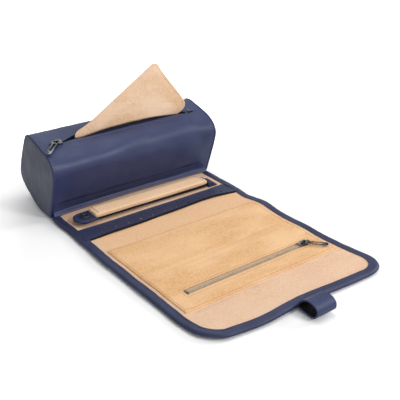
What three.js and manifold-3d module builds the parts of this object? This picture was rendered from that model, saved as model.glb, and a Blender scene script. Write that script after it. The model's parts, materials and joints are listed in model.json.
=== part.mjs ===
// Jewelry roll: a zipped bolster with a soft pouch standing in its mouth, and a
// four-section folding panel with a ring bar, an earring strip and a zip pocket.
// Millimetres, +Z up, +X along the bolster to the right, +Y to the back. The origin is on
// the floor, mid-width, at the foot of the bolster where the panel starts.
import * as THREE from "three";
import { mergeVertices } from "three/addons/utils/BufferGeometryUtils.js";
import Module from "manifold-3d";

// Overall sizes
const rollWidth = 216;
const bolsterDepth = 87;
const bolsterHeight = 86.4;
const ringSectionLength = 74;
const pocketSectionLength = 82;
const zipSectionLength = 79;
const flapLength = 43;
const footBandDepth = 6;
const footBandHeight = 4.6;
const frontCornerRadius = 26;
const halfWidth = rollWidth / 2;

// Sheet materials and clearances
const seam = 0.3;
const overrun = 2;
const hideWall = 1.1;
const suedeWall = 0.9;
const bindingWall = 0.8;
const tapeWall = 0.4;
const bindingFlange = 9.3;
const bindingUnderFlange = 7;
const bindingRound = 0.5;

// Bolster ends and rim
const capWall = 1.8;
const pipingWidth = 2.6;
const pipingProud = 0.6;
const pipingInset = 1.9;
const pipingChamfer = 0.7;
const bolsterFootReach = 26;

// Bolster zip, on the sloping top of the bolster
const mouthEndGap = 12;
const mouthLeft = mouthEndGap - halfWidth;
const mouthThroatLength = 16;
const mouthRight = halfWidth - mouthEndGap;
const mouthWidth = 10.6;
const mouthThroat = 5;
const mouthTaper = 15;
const mouthEndTaper = 9;
const mouthLineDrop = 4.5;
const mouthTapeWidth = 1.7;
const zipToothDepth = 1;
const zipToothHeight = 1.2;
const zipToothPitch = 3;
const zipToothWidth = 1.2;
const zipSpineWidth = 0.9;
const zipToothLap = 0.4;

// Zip sliders, pulls and stops
const sliderLength = 12;
const sliderWidth = 8;
const sliderWaist = 5.4;
const sliderPlate = 1.1;
const sliderFlange = 1.1;
const bailWidth = 1.6;
const bailHeight = 2.4;
const bailLength = 5.2;
const bailWire = 0.9;
const pullLength = 26;
const pullHeadWidth = 6.8;
const pullWidth = 5.4;
const pullWall = 0.8;
const pullBar = 1;
const pullEyeLength = 2.6;
const pullEyeWidth = 5;
const pullNeck = 1.8;
const pullWindowLength = 15;
const pullWindowWidth = 2.8;
const stopLength = 2.2;
const stopWidth = 4.6;
const stopInset = 3;
const mouthSliderSetback = 9;
const mouthSliderX = mouthLeft + mouthSliderSetback;
const mouthPullTurn = THREE.MathUtils.degToRad(-137);

// Pouch standing in the mouth of the bolster
const pouchShorter = 86;
const pouchLength = rollWidth - pouchShorter;
const pouchHeight = 76.5;
const pouchPly = 1.6;
const pouchCorner = 7;
const pouchTilt = THREE.MathUtils.degToRad(32);
const pouchFootInset = 20.66;
const pouchFootX = halfWidth - pouchFootInset;
const pouchFootZ = 85.62;
const pouchPlaneY = 17;

// Ring bar and its tabs
const barLeftInset = 34;
const barLeft = barLeftInset - halfWidth;
const barRightInset = 30;
const barRight = halfWidth - barRightInset;
const barDepth = 18;
const barHeight = 11;
const barCentreY = -34;
const barCoverWall = 1;
const barSectionPower = 2.6;
const tabWidth = 23;
const tabWall = 1.5;
const snapTabLength = 22;
const anchorTabLength = 13;
const anchorTabFoot = 7;
const tabRise = 4.4;
const snapDiameter = 10;
const snapCapHeight = 1.5;
const snapDimple = 4.6;
const snapDimpleDepth = 0.7;
const snapInset = 9;
const studDiameter = 5;
const studFlange = 1;

// Earring strip
const stripStart = 42;
const stripWidth = 26;
const stripLift = 0.5;
const stripHem = 4;
const stripWall = 1;
const earringHole = 1.8;
const earringColumns = 11;
const earringInset = 28;
const earringPitch = (rollWidth - 2 * earringInset) / (earringColumns - 1);
const earringRowPitch = 12;

// Zip pocket on the second and third sections
const pocketSideGap = 13;
const pocketHalf = halfWidth - pocketSideGap;
const pocketMargin = 24;
const pocketEnd = 74;
const pocketHem = 3;
const pocketZipCentre = 48;
const pocketZipLeftMargin = 18;
const pocketZipLeft = pocketZipLeftMargin - pocketHalf;
const pocketZipRightMargin = 11;
const pocketZipRight = pocketHalf - pocketZipRightMargin;
const pocketZipWindow = 9;
const pocketSliderSetback = 11;
const pocketSliderX = pocketZipRight - pocketSliderSetback;
const pocketPullTurn = THREE.MathUtils.degToRad(-46);

// Closure loop at the front edge
const loopLeft = -8;
const loopRight = 18;
const loopReach = 27;
const loopHeight = 16.5;
const loopWall = 1.7;
const loopFloor = 1.2;
const loopRoot = 5;

// Heights through the panel, from the floor up
const footClearance = hideWall + seam + pipingProud;
const hideFloor = bindingWall + seam;
const suedeFloor = hideFloor + hideWall + seam;
const suedeTop = suedeFloor + suedeWall;
const flangeFloor = suedeTop + seam;
const panelTop = flangeFloor + bindingWall;
const pocketFloor = flangeFloor + tapeWall + seam;
const pocketTop = pocketFloor + suedeWall;
const foldHeight = pocketTop + seam;
const sheetHalfWidth = halfWidth - bindingWall - seam;
const flangeInner = halfWidth - bindingFlange;

const curveSteps = 8;
const roundSteps = 20;

// Colours
const navy = new THREE.Color(0.066, 0.07, 0.155);
const slate = new THREE.Color(0.09, 0.1, 0.14);
const tan = new THREE.Color(0.8, 0.56, 0.34);
const paleTan = new THREE.Color(0.82, 0.62, 0.43);
const taupe = new THREE.Color(0.36, 0.27, 0.2);
const gunmetal = new THREE.Color(0.2, 0.2, 0.21);
const black = new THREE.Color(0.02, 0.02, 0.025);
const leather = (color) => new THREE.MeshStandardMaterial({ color, roughness: 0.45 });
const suede = (color) => new THREE.MeshStandardMaterial({ color, roughness: 0.95 });
const metal = (color) => new THREE.MeshStandardMaterial({ color, roughness: 0.3, metalness: 1 });

const wasm = await Module();
wasm.setup();

// Geometry to solid and back
function solid(geometry) {
  const bare = new THREE.BufferGeometry();
  const flat = geometry.index ? geometry.toNonIndexed() : geometry;
  bare.setAttribute("position", flat.getAttribute("position"));
  const merged = mergeVertices(bare, 1e-4);
  return new wasm.Manifold(
    new wasm.Mesh({
      numProp: 3,
      vertProperties: merged.attributes.position.array,
      triVerts: new Uint32Array(merged.index.array),
    }),
  );
}

function surface(body) {
  const made = body.getMesh();
  const geometry = new THREE.BufferGeometry();
  geometry.setAttribute("position", new THREE.BufferAttribute(made.vertProperties, 3));
  geometry.setIndex(new THREE.BufferAttribute(made.triVerts, 1));
  const open = geometry.toNonIndexed();
  open.computeVertexNormals();
  return open;
}

const cut = (from, ...tools) => surface(tools.reduce((s, t) => s.subtract(solid(t)), solid(from)));
const join = (...pieces) => surface(pieces.slice(1).reduce((s, t) => s.add(solid(t)), solid(pieces[0])));

// A flat outline pushed up from one height to another
function plate(outline, floor, top, holes = []) {
  const path = outline instanceof THREE.Shape ? outline.getPoints(curveSteps) : outline;
  const turned = THREE.ShapeUtils.isClockWise(path);
  const shape = new THREE.Shape(turned ? [...path].reverse() : path);
  holes.forEach((hole) => shape.holes.push(new THREE.Path(hole)));
  const geometry = new THREE.ExtrudeGeometry(shape, {
    depth: top - floor,
    bevelEnabled: false,
    curveSegments: curveSteps,
  });
  return geometry.translate(0, 0, floor);
}

// An outline in Y and Z pushed along X
function extrusion(outline, left, right, holes = []) {
  const geometry = plate(outline, left, right, holes);
  const alongX = new THREE.Matrix4().makeBasis(
    new THREE.Vector3(0, 1, 0),
    new THREE.Vector3(0, 0, 1),
    new THREE.Vector3(1, 0, 0),
  );
  return geometry.applyMatrix4(alongX);
}

// An outline in X and Z pushed along Y
const alongY = (outline, front, back, holes = []) =>
  plate(outline, -back, -front, holes).rotateX(Math.PI / 2);

const box = (left, right, front, back, floor, top) =>
  plate(
    [
      new THREE.Vector2(left, front),
      new THREE.Vector2(right, front),
      new THREE.Vector2(right, back),
      new THREE.Vector2(left, back),
    ],
    floor,
    top,
  );

const points = (list) => list.map(([a, b]) => new THREE.Vector2(a, b));

// A closed outline moved inwards by a distance, corner by corner
function inset(outline, distance) {
  const turn = THREE.ShapeUtils.isClockWise(outline) ? -1 : 1;
  return outline.map((point, i) => {
    const before = outline[(i + outline.length - 1) % outline.length];
    const after = outline[(i + 1) % outline.length];
    const first = point.clone().sub(before).normalize();
    const second = after.clone().sub(point).normalize();
    const normalA = new THREE.Vector2(-first.y, first.x);
    const normalB = new THREE.Vector2(-second.y, second.x);
    const middle = normalA.clone().add(normalB).normalize();
    const reach = (turn * distance) / Math.max(middle.dot(normalA), 0.5);
    return point.clone().addScaledVector(middle, reach);
  });
}

const named = (name, geometry, material) => {
  const mesh = new THREE.Mesh(geometry, material);
  mesh.name = name;
  return mesh;
};

const roll = new THREE.Group();
const bolster = new THREE.Group();
roll.add(bolster);

// Bolster section: a rounded block that leans forward, as shares of its depth and height
const sectionShares = [
  [0.213, 0],
  [0.2, 0.012],
  [0.138, 0.19],
  [0.064, 0.41],
  [0.02, 0.56],
  [0, 0.67],
  [0.018, 0.745],
  [0.06, 0.805],
  [0.14, 0.865],
  [0.252, 0.9115],
  [0.505, 0.979],
  [0.6, 1],
  [0.67, 0.997],
  [0.72, 0.975],
  [0.765, 0.925],
  [0.86, 0.75],
  [0.945, 0.565],
  [0.985, 0.45],
  [1, 0.37],
  [0.985, 0.295],
  [0.93, 0.22],
  [0.78, 0.115],
  [0.63, 0.04],
  [0.51, 0],
];
const frontOverhangShare = 0.2;
const sectionOutline = sectionShares.map(
  ([depth, height]) =>
    new THREE.Vector2(
      (depth - frontOverhangShare) * bolsterDepth,
      footClearance + height * (bolsterHeight - footClearance),
    ),
);
const mouthFacetShares = [9, 10];
const facetFront = sectionOutline[mouthFacetShares[0]];
const facetBack = sectionOutline[mouthFacetShares[1]];
const facetSlope = Math.atan2(facetBack.y - facetFront.y, facetBack.x - facetFront.x);
const facetMiddle = facetFront.clone().add(facetBack).multiplyScalar(1 / 2);

// The mouth's own frame: X along the bolster, Y up the slope, Z square to the leather
const onFacet = (geometry) =>
  geometry.rotateX(facetSlope).translate(0, facetMiddle.x, facetMiddle.y);

const mouthCentre = (pouchPlaneY - facetMiddle.x) / Math.cos(facetSlope);
const mouthFront = mouthCentre - mouthWidth / 2;
const mouthBack = mouthCentre + mouthWidth / 2;
const zipLine = mouthCentre - mouthLineDrop;
const throatFront = zipLine - mouthThroat / 2;
const throatBack = zipLine + mouthThroat / 2;
const throatEnd = mouthLeft + mouthThroatLength;
const lipStart = throatEnd + mouthTaper;
const lipEnd = mouthRight - mouthEndTaper;
const mouthOutline = points([
  [mouthLeft, throatFront],
  [throatEnd, throatFront],
  [lipStart, mouthFront],
  [lipEnd, mouthFront],
  [mouthRight, throatFront],
  [mouthRight, throatBack],
  [lipEnd, mouthBack],
  [lipStart, mouthBack],
  [throatEnd, throatBack],
  [mouthLeft, throatBack],
]);
const liningFloor = hideWall + seam;
const liningDepth = liningFloor + suedeWall;
const mouthCutter = () => onFacet(plate(mouthOutline, -liningDepth - overrun, overrun));

const wrapEnd = halfWidth - pipingWidth - seam;
bolster.add(
  named(
    "bolster_wrap",
    cut(extrusion(sectionOutline, -wrapEnd, wrapEnd, [inset(sectionOutline, hideWall)]), mouthCutter()),
    leather(navy),
  ),
  named(
    "bolster_lining",
    cut(
      extrusion(inset(sectionOutline, liningFloor), -wrapEnd, wrapEnd, [
        inset(sectionOutline, liningDepth),
      ]),
      mouthCutter(),
    ),
    suede(tan),
  ),
);

// End caps and the piping round them
const pipingLoop = (proud, from, to) =>
  extrusion(inset(sectionOutline, -proud), from, to, [inset(sectionOutline, pipingInset)]);
for (const [side, sign] of [
  ["left", -1],
  ["right", 1],
]) {
  const inner = halfWidth - pipingWidth;
  const spans = [
    [pipingProud - pipingChamfer, inner, halfWidth],
    [pipingProud, inner + pipingChamfer, halfWidth - pipingChamfer],
  ];
  const loops = spans.map(([proud, from, to]) =>
    pipingLoop(proud, Math.min(sign * from, sign * to), Math.max(sign * from, sign * to)),
  );
  const capEnds = [sign * (inner + seam), sign * (inner + seam + capWall)].sort((a, b) => a - b);
  bolster.add(
    named(
      "end_cap_" + side,
      extrusion(inset(sectionOutline, pipingInset + seam), capEnds[0], capEnds[1]),
      leather(slate),
    ),
    named("end_piping_" + side, join(...loops), leather(navy)),
  );
}

// Foot band: the outer leather runs from the first section under the bolster, and rises
// in front of it as a narrow fillet
const bandFront = -footBandDepth + seam / 2;
const filletShare = 0.42;
const bandOutline = points([
  [bandFront, 0],
  [bolsterFootReach, 0],
  [bolsterFootReach, hideWall],
  [0, hideWall],
  [-footBandDepth * filletShare, footBandHeight],
  [bandFront, panelTop - seam],
]);
bolster.add(named("foot_band", extrusion(bandOutline, -halfWidth + seam, halfWidth - seam), leather(navy)));

// One row of zip teeth: a spine along X with teeth that point one way in Y
function toothRow(left, right, spine, way, shift) {
  const count = Math.floor((right - left - shift - zipToothWidth) / zipToothPitch);
  const edge = spine + way * zipSpineWidth;
  const tip = edge + way * zipToothDepth;
  const line = [[left, spine]];
  line.push([right, spine], [right, edge]);
  for (let i = count; i >= 0; i -= 1) {
    const start = left + shift + i * zipToothPitch;
    line.push([start + zipToothWidth, edge], [start + zipToothWidth, tip], [start, tip], [start, edge]);
  }
  line.push([left, edge]);
  return points(line);
}

// Mouth tapes: joined in the throat under the slider, then one along each lip
const tapeFloor = -hideWall;
const tapeTop = tapeFloor + tapeWall;
const teethFloor = tapeTop + seam;
const teethTop = teethFloor + zipToothHeight;
const closedSpine = zipSpineWidth + zipToothDepth - zipToothLap / 2;
for (const [side, edge, throat, way, shift] of [
  ["front", mouthFront, throatFront, 1, 0],
  ["back", mouthBack, throatBack, -1, zipToothPitch / 2],
]) {
  const lip = edge + way * seam;
  const lipInner = lip + way * mouthTapeWidth;
  const throatInner = zipLine - (way * seam) / 2;
  const tape = points([
    [mouthLeft + seam, throat + way * seam],
    [throatEnd, throat + way * seam],
    [lipStart, lip],
    [lipEnd, lip],
    [lipEnd, lipInner],
    [lipStart, lipInner],
    [throatEnd, throatInner],
    [mouthLeft + seam, throatInner],
  ]);
  const openTeeth = toothRow(lipStart, lipEnd, lipInner - way * (zipSpineWidth + seam), way, shift);
  const closedTeeth = toothRow(mouthLeft + seam, throatEnd, zipLine - way * closedSpine, way, shift);
  bolster.add(
    named("mouth_tape_" + side, onFacet(plate(tape, tapeFloor, tapeTop)), leather(navy)),
    named("mouth_teeth_" + side, onFacet(plate(openTeeth, teethFloor, teethTop)), metal(gunmetal)),
    named("throat_teeth_" + side, onFacet(plate(closedTeeth, teethFloor, teethTop)), metal(gunmetal)),
  );
}

// The right end of the mouth: a web that joins the tapes and runs down to the zip's line,
// with the zip's end stop on it
const webStart = lipEnd + seam;
const webEnd = mouthRight - seam;
const frontSlope = (mouthFront - throatFront) / mouthEndTaper;
const backSlope = (mouthBack - throatBack) / mouthEndTaper;
const webFront = (x) => mouthFront + seam * 2 - (x - lipEnd) * frontSlope;
const webBack = (x) => mouthBack - seam * 2 - (x - lipEnd) * backSlope;
const web = points([
  [webStart, webFront(webStart)],
  [webEnd, webFront(webEnd)],
  [webEnd, webBack(webEnd)],
  [webStart, webBack(webStart)],
]);
const stopStart = mouthRight - stopInset;
const stopMiddle = (webFront(stopStart) + webBack(stopStart)) / 2;
bolster.add(
  named(
    "mouth_end_stop",
    join(
      onFacet(plate(web, tapeFloor, tapeTop)),
      onFacet(
        box(
          stopStart - stopLength,
          stopStart,
          stopMiddle - stopWidth / 2,
          stopMiddle + stopWidth / 2,
          tapeFloor,
          teethTop,
        ),
      ),
    ),
    metal(gunmetal),
  ),
);

// A zip slider that straddles the teeth: deck, two flanges and a bail; origin mid-teeth
function sliderShape(deck, flangeFoot) {
  const half = sliderWidth / 2;
  const waist = sliderWaist / 2;
  const end = sliderLength / 2;
  const shoulder = end - sliderWaist;
  const plan = points([
    [-end, -waist],
    [shoulder, -half],
    [end, -half],
    [end, half],
    [shoulder, half],
    [-end, waist],
  ]);
  const deckTop = deck + sliderPlate;
  const bailTop = deckTop + bailHeight;
  const bailEnd = bailLength / 2;
  const eyeEnd = bailEnd - bailWire;
  const bail = box(-bailEnd, bailEnd, -bailWidth / 2, bailWidth / 2, deck + sliderPlate / 2, bailTop);
  const eye = box(-eyeEnd, eyeEnd, -bailWidth, bailWidth, deckTop, bailTop - bailWire);
  const inner = half - sliderFlange;
  const flangeTop = deck + sliderPlate / 2;
  const flanges = [-1, 1].map((side) => {
    const ends = [side * inner, side * half].sort((a, b) => a - b);
    return box(shoulder, end, ends[0], ends[1], flangeFoot, flangeTop);
  });
  return cut(join(plate(plan, deck, deckTop), ...flanges, bail), eye);
}

// A pull: a bar through the bail's eye, then a flat tongue with a long window
function pullShape() {
  const head = pullHeadWidth / 2;
  const eyeHalf = pullEyeWidth / 2;
  const windowStart = pullEyeLength + pullBar / 2 + pullNeck;
  const tongue = pullWidth / 2;
  const corner = tongue / 2;
  const eyeEnd = pullEyeLength + pullBar / 2;
  const outline = points([
    [-pullBar / 2, -head],
    [eyeEnd, -head],
    [windowStart, -tongue],
    [pullLength - corner, -tongue],
    [pullLength, -tongue + corner],
    [pullLength, tongue - corner],
    [pullLength - corner, tongue],
    [windowStart, tongue],
    [eyeEnd, head],
    [-pullBar / 2, head],
  ]);
  const eye = points([
    [pullBar / 2, -eyeHalf],
    [eyeEnd, -eyeHalf],
    [eyeEnd, eyeHalf],
    [pullBar / 2, eyeHalf],
  ]);
  const slotHalf = pullWindowWidth / 2;
  const windowEnd = windowStart + pullWindowLength;
  const window = points([
    [windowStart, -slotHalf],
    [windowEnd, -slotHalf],
    [windowEnd, slotHalf],
    [windowStart, slotHalf],
  ]);
  return plate(outline, -pullWall / 2, pullWall / 2, [eye, window]);
}

// Mouth slider and its pull, in a group that lies on the slope
const mouthDeck = teethTop + seam;
const mouthSlider = new THREE.Group();
mouthSlider.name = "mouth_slider_frame";
mouthSlider.position.set(mouthSliderX, facetMiddle.x, facetMiddle.y);
mouthSlider.rotation.x = facetSlope;
const mouthSliderMesh = named("mouth_slider", sliderShape(mouthDeck, seam), metal(gunmetal));
mouthSliderMesh.position.y = zipLine;
const mouthPull = named("mouth_pull", pullShape(), metal(gunmetal));
const pullSeat = sliderPlate + seam + pullWall / 2;
mouthPull.position.set(0, zipLine, mouthDeck + pullSeat);
mouthPull.rotation.z = mouthPullTurn;
mouthSlider.add(mouthSliderMesh, mouthPull);
bolster.add(mouthSlider);

// Pouch: two plies sewn round the edge, standing tilted in the mouth
function roundedRectangle(width, height, radius) {
  const shape = new THREE.Shape();
  const x = width / 2 - radius;
  const y = height / 2 - radius;
  const quarter = Math.PI / 2;
  shape.absarc(x, -y, radius, -quarter, 0);
  shape.absarc(x, y, radius, 0, quarter);
  shape.absarc(-x, y, radius, quarter, 2 * quarter);
  shape.absarc(-x, -y, radius, 2 * quarter, 3 * quarter);
  return shape;
}
const pouch = new THREE.Group();
pouch.name = "pouch_frame";
const pouchDown = new THREE.Vector2(Math.sin(pouchTilt), -Math.cos(pouchTilt));
const pouchAlong = new THREE.Vector2(-Math.cos(pouchTilt), -Math.sin(pouchTilt));
const pouchCentre = new THREE.Vector2(pouchFootX, pouchFootZ)
  .addScaledVector(pouchAlong, pouchLength / 2)
  .addScaledVector(pouchDown, -pouchHeight / 2);
pouch.position.set(pouchCentre.x, pouchPlaneY, pouchCentre.y);
pouch.rotation.y = -pouchTilt;
const pouchOutline = roundedRectangle(pouchLength, pouchHeight, pouchCorner);
pouch.add(
  named(
    "pouch_front_ply",
    alongY(pouchOutline, -seam / 2 - pouchPly, -seam / 2),
    suede(tan),
  ),
  named("pouch_back_ply", alongY(pouchOutline, seam / 2, seam / 2 + pouchPly), suede(paleTan)),
);
bolster.add(pouch);

// Panel sections: each is a group whose origin is its fold line, at the top of the panel
function section(name, parent, y, z) {
  const fold = new THREE.Group();
  fold.name = name + "_fold";
  fold.position.set(0, y, z);
  const sheet = new THREE.Group();
  sheet.position.z = -foldHeight;
  fold.add(sheet);
  parent.add(fold);
  return sheet;
}
const ring = section("ring_section", roll, -footBandDepth, foldHeight);
const pocket = section("pocket_section", ring, -ringSectionLength, foldHeight);
const zip = section("zip_section", pocket, -pocketSectionLength, foldHeight);
const flap = section("flap", zip, -zipSectionLength, foldHeight);

const foldGap = seam / 2;
const bindingProfile = (sign) =>
  points(
    [
      [bindingUnderFlange, 0],
      [bindingRound, 0],
      [0, bindingRound],
      [0, panelTop - bindingRound],
      [bindingRound, panelTop],
      [bindingFlange, panelTop],
      [bindingFlange, flangeFloor],
      [bindingWall, flangeFloor],
      [bindingWall, bindingWall],
      [bindingUnderFlange, bindingWall],
    ].map(([edge, z]) => [sign * (halfWidth - edge), z]),
  );
for (const [name, sheet, length] of [
  ["ring", ring, ringSectionLength],
  ["pocket", pocket, pocketSectionLength],
  ["zip", zip, zipSectionLength],
]) {
  const front = -length + foldGap;
  const sheetBox = (floor, top) => box(-sheetHalfWidth, sheetHalfWidth, front, -foldGap, floor, top);
  sheet.add(
    named(name + "_section_leather", sheetBox(hideFloor, hideFloor + hideWall), leather(navy)),
    named(name + "_section_suede", sheetBox(suedeFloor, suedeTop), suede(tan)),
    named(name + "_binding_left", alongY(bindingProfile(-1), front, -foldGap), leather(navy)),
    named(name + "_binding_right", alongY(bindingProfile(1), front, -foldGap), leather(navy)),
  );
}

// Front flap: rounded front corners, one binding round three sides
function flapPlan(margin, back) {
  const shape = new THREE.Shape();
  const radius = frontCornerRadius - margin;
  const x = halfWidth - margin;
  const front = -flapLength + margin;
  const quarter = Math.PI / 2;
  shape.moveTo(x, back);
  shape.lineTo(-x, back);
  shape.absarc(-x + radius, front + radius, radius, 2 * quarter, 3 * quarter);
  shape.absarc(x - radius, front + radius, radius, -quarter, 0);
  return shape;
}
const flapSheet = (floor, top) => plate(flapPlan(bindingWall + seam, -foldGap), floor, top);
const bindingBlock = new THREE.ExtrudeGeometry(flapPlan(bindingRound, overrun), {
  depth: panelTop - 2 * bindingRound,
  bevelThickness: bindingRound,
  bevelSize: bindingRound,
  bevelSegments: 1,
  curveSegments: curveSteps,
}).translate(0, 0, bindingRound);
flap.add(
  named("flap_leather", flapSheet(hideFloor, hideFloor + hideWall), leather(navy)),
  named("flap_suede", flapSheet(suedeFloor, suedeTop), suede(paleTan)),
  named(
    "flap_binding",
    cut(
      bindingBlock,
      plate(flapPlan(bindingWall, overrun * 2), bindingWall, flangeFloor),
      plate(flapPlan(bindingFlange, overrun * 2), bindingWall, panelTop + overrun),
      plate(flapPlan(bindingUnderFlange, overrun * 2), -overrun, flangeFloor),
      box(-halfWidth - overrun, halfWidth + overrun, -foldGap, overrun * 2, -overrun, panelTop + overrun),
    ),
    leather(navy),
  ),
);

// Closure loop: a strap folded back on itself, sewn at the middle of the front edge
const loopFrame = new THREE.Group();
loopFrame.name = "closure_loop_fold";
loopFrame.position.set(0, -flapLength - seam, loopRoot);
flap.add(loopFrame);
const loopShares = [
  [0, 0.22],
  [-0.03, 0.33],
  [-0.14, 0.62],
  [-0.3, 0.86],
  [-0.52, 0.99],
  [-0.76, 0.96],
  [-0.94, 0.78],
  [-1, 0.5],
  [-0.95, 0.23],
  [-0.8, 0.04],
  [-0.6, 0],
  [-0.4, 0.03],
  [-0.2, 0.09],
  [-0.05, 0.15],
];
const loopOutline = loopShares.map(
  ([reach, height]) =>
    new THREE.Vector2(reach * loopReach, loopFloor - loopRoot + height * (loopHeight - loopFloor)),
);
const loopCurve = new THREE.SplineCurve([...loopOutline, loopOutline[0]]);
const loopOuter = loopCurve.getPoints(roundSteps * 2).slice(0, -1);
loopFrame.add(
  named("closure_loop", extrusion(loopOuter, loopLeft, loopRight, [inset(loopOuter, loopWall)]), leather(navy)),
);

// Earring strip: a raised band with two staggered rows of holes, sewn at its ends
const stripFloor = flangeFloor + stripLift;
const stripFront = -stripStart - stripWidth;
const stripEnd = flangeInner - seam;
const earringShare = [0.5, 0];
const stripMiddle = -stripStart - stripWidth / 2;
const holeOutline = (x, y) => {
  const path = new THREE.Path();
  path.absarc(x, y, earringHole / 2, 0, Math.PI * 2);
  return path.getPoints(curveSteps).slice(0, -1);
};
const holes = [];
earringShare.forEach((share, row) => {
  const count = earringColumns - row;
  for (let i = 0; i < count; i += 1) {
    const x = (i - (count - 1) / 2) * earringPitch;
    holes.push(holeOutline(x, stripMiddle + (row - share) * earringRowPitch + (row ? -earringRowPitch / 2 : 0)));
  }
});
const stripBox = points([
  [-stripEnd, stripFront],
  [stripEnd, stripFront],
  [stripEnd, -stripStart],
  [-stripEnd, -stripStart],
]);
const stripFoot = (a, b) => box(a, b, stripFront, -stripStart, flangeFloor, stripFloor + stripWall / 2);
ring.add(
  named(
    "earring_strip",
    join(
      plate(stripBox, stripFloor, stripFloor + stripWall, holes),
      stripFoot(-stripEnd, -stripEnd + stripHem),
      stripFoot(stripEnd - stripHem, stripEnd),
    ),
    leather(navy),
  ),
);

// Ring bar: a padded suede roll with a snap tab at its free end and a sewn tab at the other
const barFrame = new THREE.Group();
barFrame.name = "ring_bar_hinge";
const barY = barCentreY + footBandDepth;
const barMiddle = flangeFloor + seam + barHeight / 2;
const barHingeX = barRight + seam * 3;
const barHingeZ = barMiddle + seam * 4;
barFrame.position.set(barHingeX, barY, barHingeZ);
const bar = new THREE.Group();
bar.position.set(-barHingeX, -barY, -barHingeZ);
barFrame.add(bar);
ring.add(barFrame);
const barOutline = (margin) => {
  const outline = [];
  const a = barDepth / 2 - margin;
  const b = barHeight / 2 - margin;
  const power = 2 / barSectionPower;
  for (let i = 0; i < roundSteps; i += 1) {
    const angle = (2 * Math.PI * i) / roundSteps;
    const c = Math.cos(angle);
    const s = Math.sin(angle);
    outline.push(
      new THREE.Vector2(
        barY + a * Math.sign(c) * Math.abs(c) ** power,
        barMiddle + b * Math.sign(s) * Math.abs(s) ** power,
      ),
    );
  }
  return outline;
};
const tabFloor = barMiddle - tabWall / 2;
const tabTop = tabFloor + tabWall;
const snapX = barLeft - snapInset;
const tabPlan = roundedRectangle(snapTabLength * 2, tabWidth, tabWidth * 0.42);
const snapTab = cut(
  plate(tabPlan, tabFloor, tabTop).translate(barLeft - seam, barY, 0),
  box(barLeft - seam, barRight, barY - tabWidth, barY + tabWidth, tabFloor - overrun, tabTop + overrun),
);
const disc = (diameter, x, y, floor, top) =>
  new THREE.CylinderGeometry(diameter / 2, diameter / 2, top - floor, roundSteps)
    .rotateX(Math.PI / 2)
    .translate(x, y, (floor + top) / 2);
const capTop = tabTop + seam + snapCapHeight;
bar.add(
  named(
    "ring_bar_cover",
    extrusion(barOutline(0), barLeft, barRight, [barOutline(barCoverWall)]),
    suede(tan),
  ),
  named("ring_bar_core", extrusion(barOutline(barCoverWall + seam), barLeft, barRight), suede(paleTan)),
  named("ring_bar_snap_tab", snapTab, leather(navy)),
  named(
    "snap_cap",
    cut(
      disc(snapDiameter, snapX, barY, tabTop + seam, capTop),
      disc(snapDimple, snapX, barY, capTop - snapDimpleDepth, capTop + overrun),
    ),
    metal(black),
  ),
);

// Snap stud on the suede under the free tab, and the sewn tab at the fixed end
const studTop = tabFloor - seam;
ring.add(
  named(
    "snap_stud",
    join(
      disc(snapDiameter, snapX, barY, suedeTop + seam, suedeTop + seam + studFlange),
      disc(studDiameter, snapX, barY, suedeTop + seam, studTop),
    ),
    metal(black),
  ),
);
const anchorStart = barRight + seam;
const anchorEnd = anchorStart + anchorTabLength;
const anchorFoot = anchorEnd - anchorTabFoot;
const anchorTab = points([
  [anchorStart, tabFloor],
  [anchorStart + tabRise / 2, tabFloor],
  [anchorFoot, flangeFloor],
  [anchorEnd, flangeFloor],
  [anchorEnd, flangeFloor + tabWall],
  [anchorFoot + tabWall / 2, flangeFloor + tabWall],
  [anchorStart + tabRise / 2 + tabWall / 2, tabTop],
  [anchorStart, tabTop],
]);
ring.add(
  named("ring_bar_anchor_tab", alongY(anchorTab, barY - tabWidth / 2, barY + tabWidth / 2), leather(navy)),
);

// Zip pocket: a suede patch over the second and third sections, hemmed down on three sides
const hemTop = pocketFloor + suedeWall / 2;
const sideHem = (sign, front, back) => {
  const ends = [sign * pocketHalf, sign * (pocketHalf - pocketHem)].sort((a, b) => a - b);
  return box(ends[0], ends[1], front, back, flangeFloor, hemTop);
};
const upperFront = -pocketSectionLength + foldGap;
pocket.add(
  named(
    "pocket_upper_panel",
    join(
      box(-pocketHalf, pocketHalf, upperFront, -pocketMargin, pocketFloor, pocketTop),
      sideHem(-1, upperFront, -pocketMargin),
      sideHem(1, upperFront, -pocketMargin),
    ),
    suede(tan),
  ),
);
const lowerPanel = join(
  box(-pocketHalf, pocketHalf, -pocketEnd, -foldGap, pocketFloor, pocketTop),
  sideHem(-1, -pocketEnd, -foldGap),
  sideHem(1, -pocketEnd, -foldGap),
  box(-pocketHalf, pocketHalf, -pocketEnd, -pocketEnd + pocketHem, flangeFloor, hemTop),
);
const zipFront = -pocketZipCentre - pocketZipWindow / 2;
const zipBack = -pocketZipCentre + pocketZipWindow / 2;
zip.add(
  named(
    "zip_pocket_panel",
    cut(
      lowerPanel,
      box(pocketZipLeft, pocketZipRight, zipFront, zipBack, flangeFloor, pocketTop + overrun),
    ),
    suede(tan),
  ),
);
const pocketTeethFloor = flangeFloor + tapeWall + seam;
for (const [side, way, shift] of [
  ["front", 1, 0],
  ["back", -1, zipToothPitch / 2],
]) {
  const inner = -pocketZipCentre - (way * seam) / 2;
  const outer = -pocketZipCentre - way * (pocketZipWindow / 2 + overrun);
  const ends = [inner, outer].sort((a, b) => a - b);
  const teeth = toothRow(
    pocketZipLeft + stopLength + seam * 2,
    pocketZipRight - stopLength - seam * 2,
    -pocketZipCentre - way * closedSpine,
    way,
    shift,
  );
  zip.add(
    named(
      "pocket_tape_" + side,
      box(pocketZipLeft - overrun, pocketZipRight + overrun, ends[0], ends[1], flangeFloor, flangeFloor + tapeWall),
      suede(taupe),
    ),
    named("pocket_teeth_" + side, plate(teeth, pocketTeethFloor, pocketTop), metal(gunmetal)),
  );
}
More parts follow.
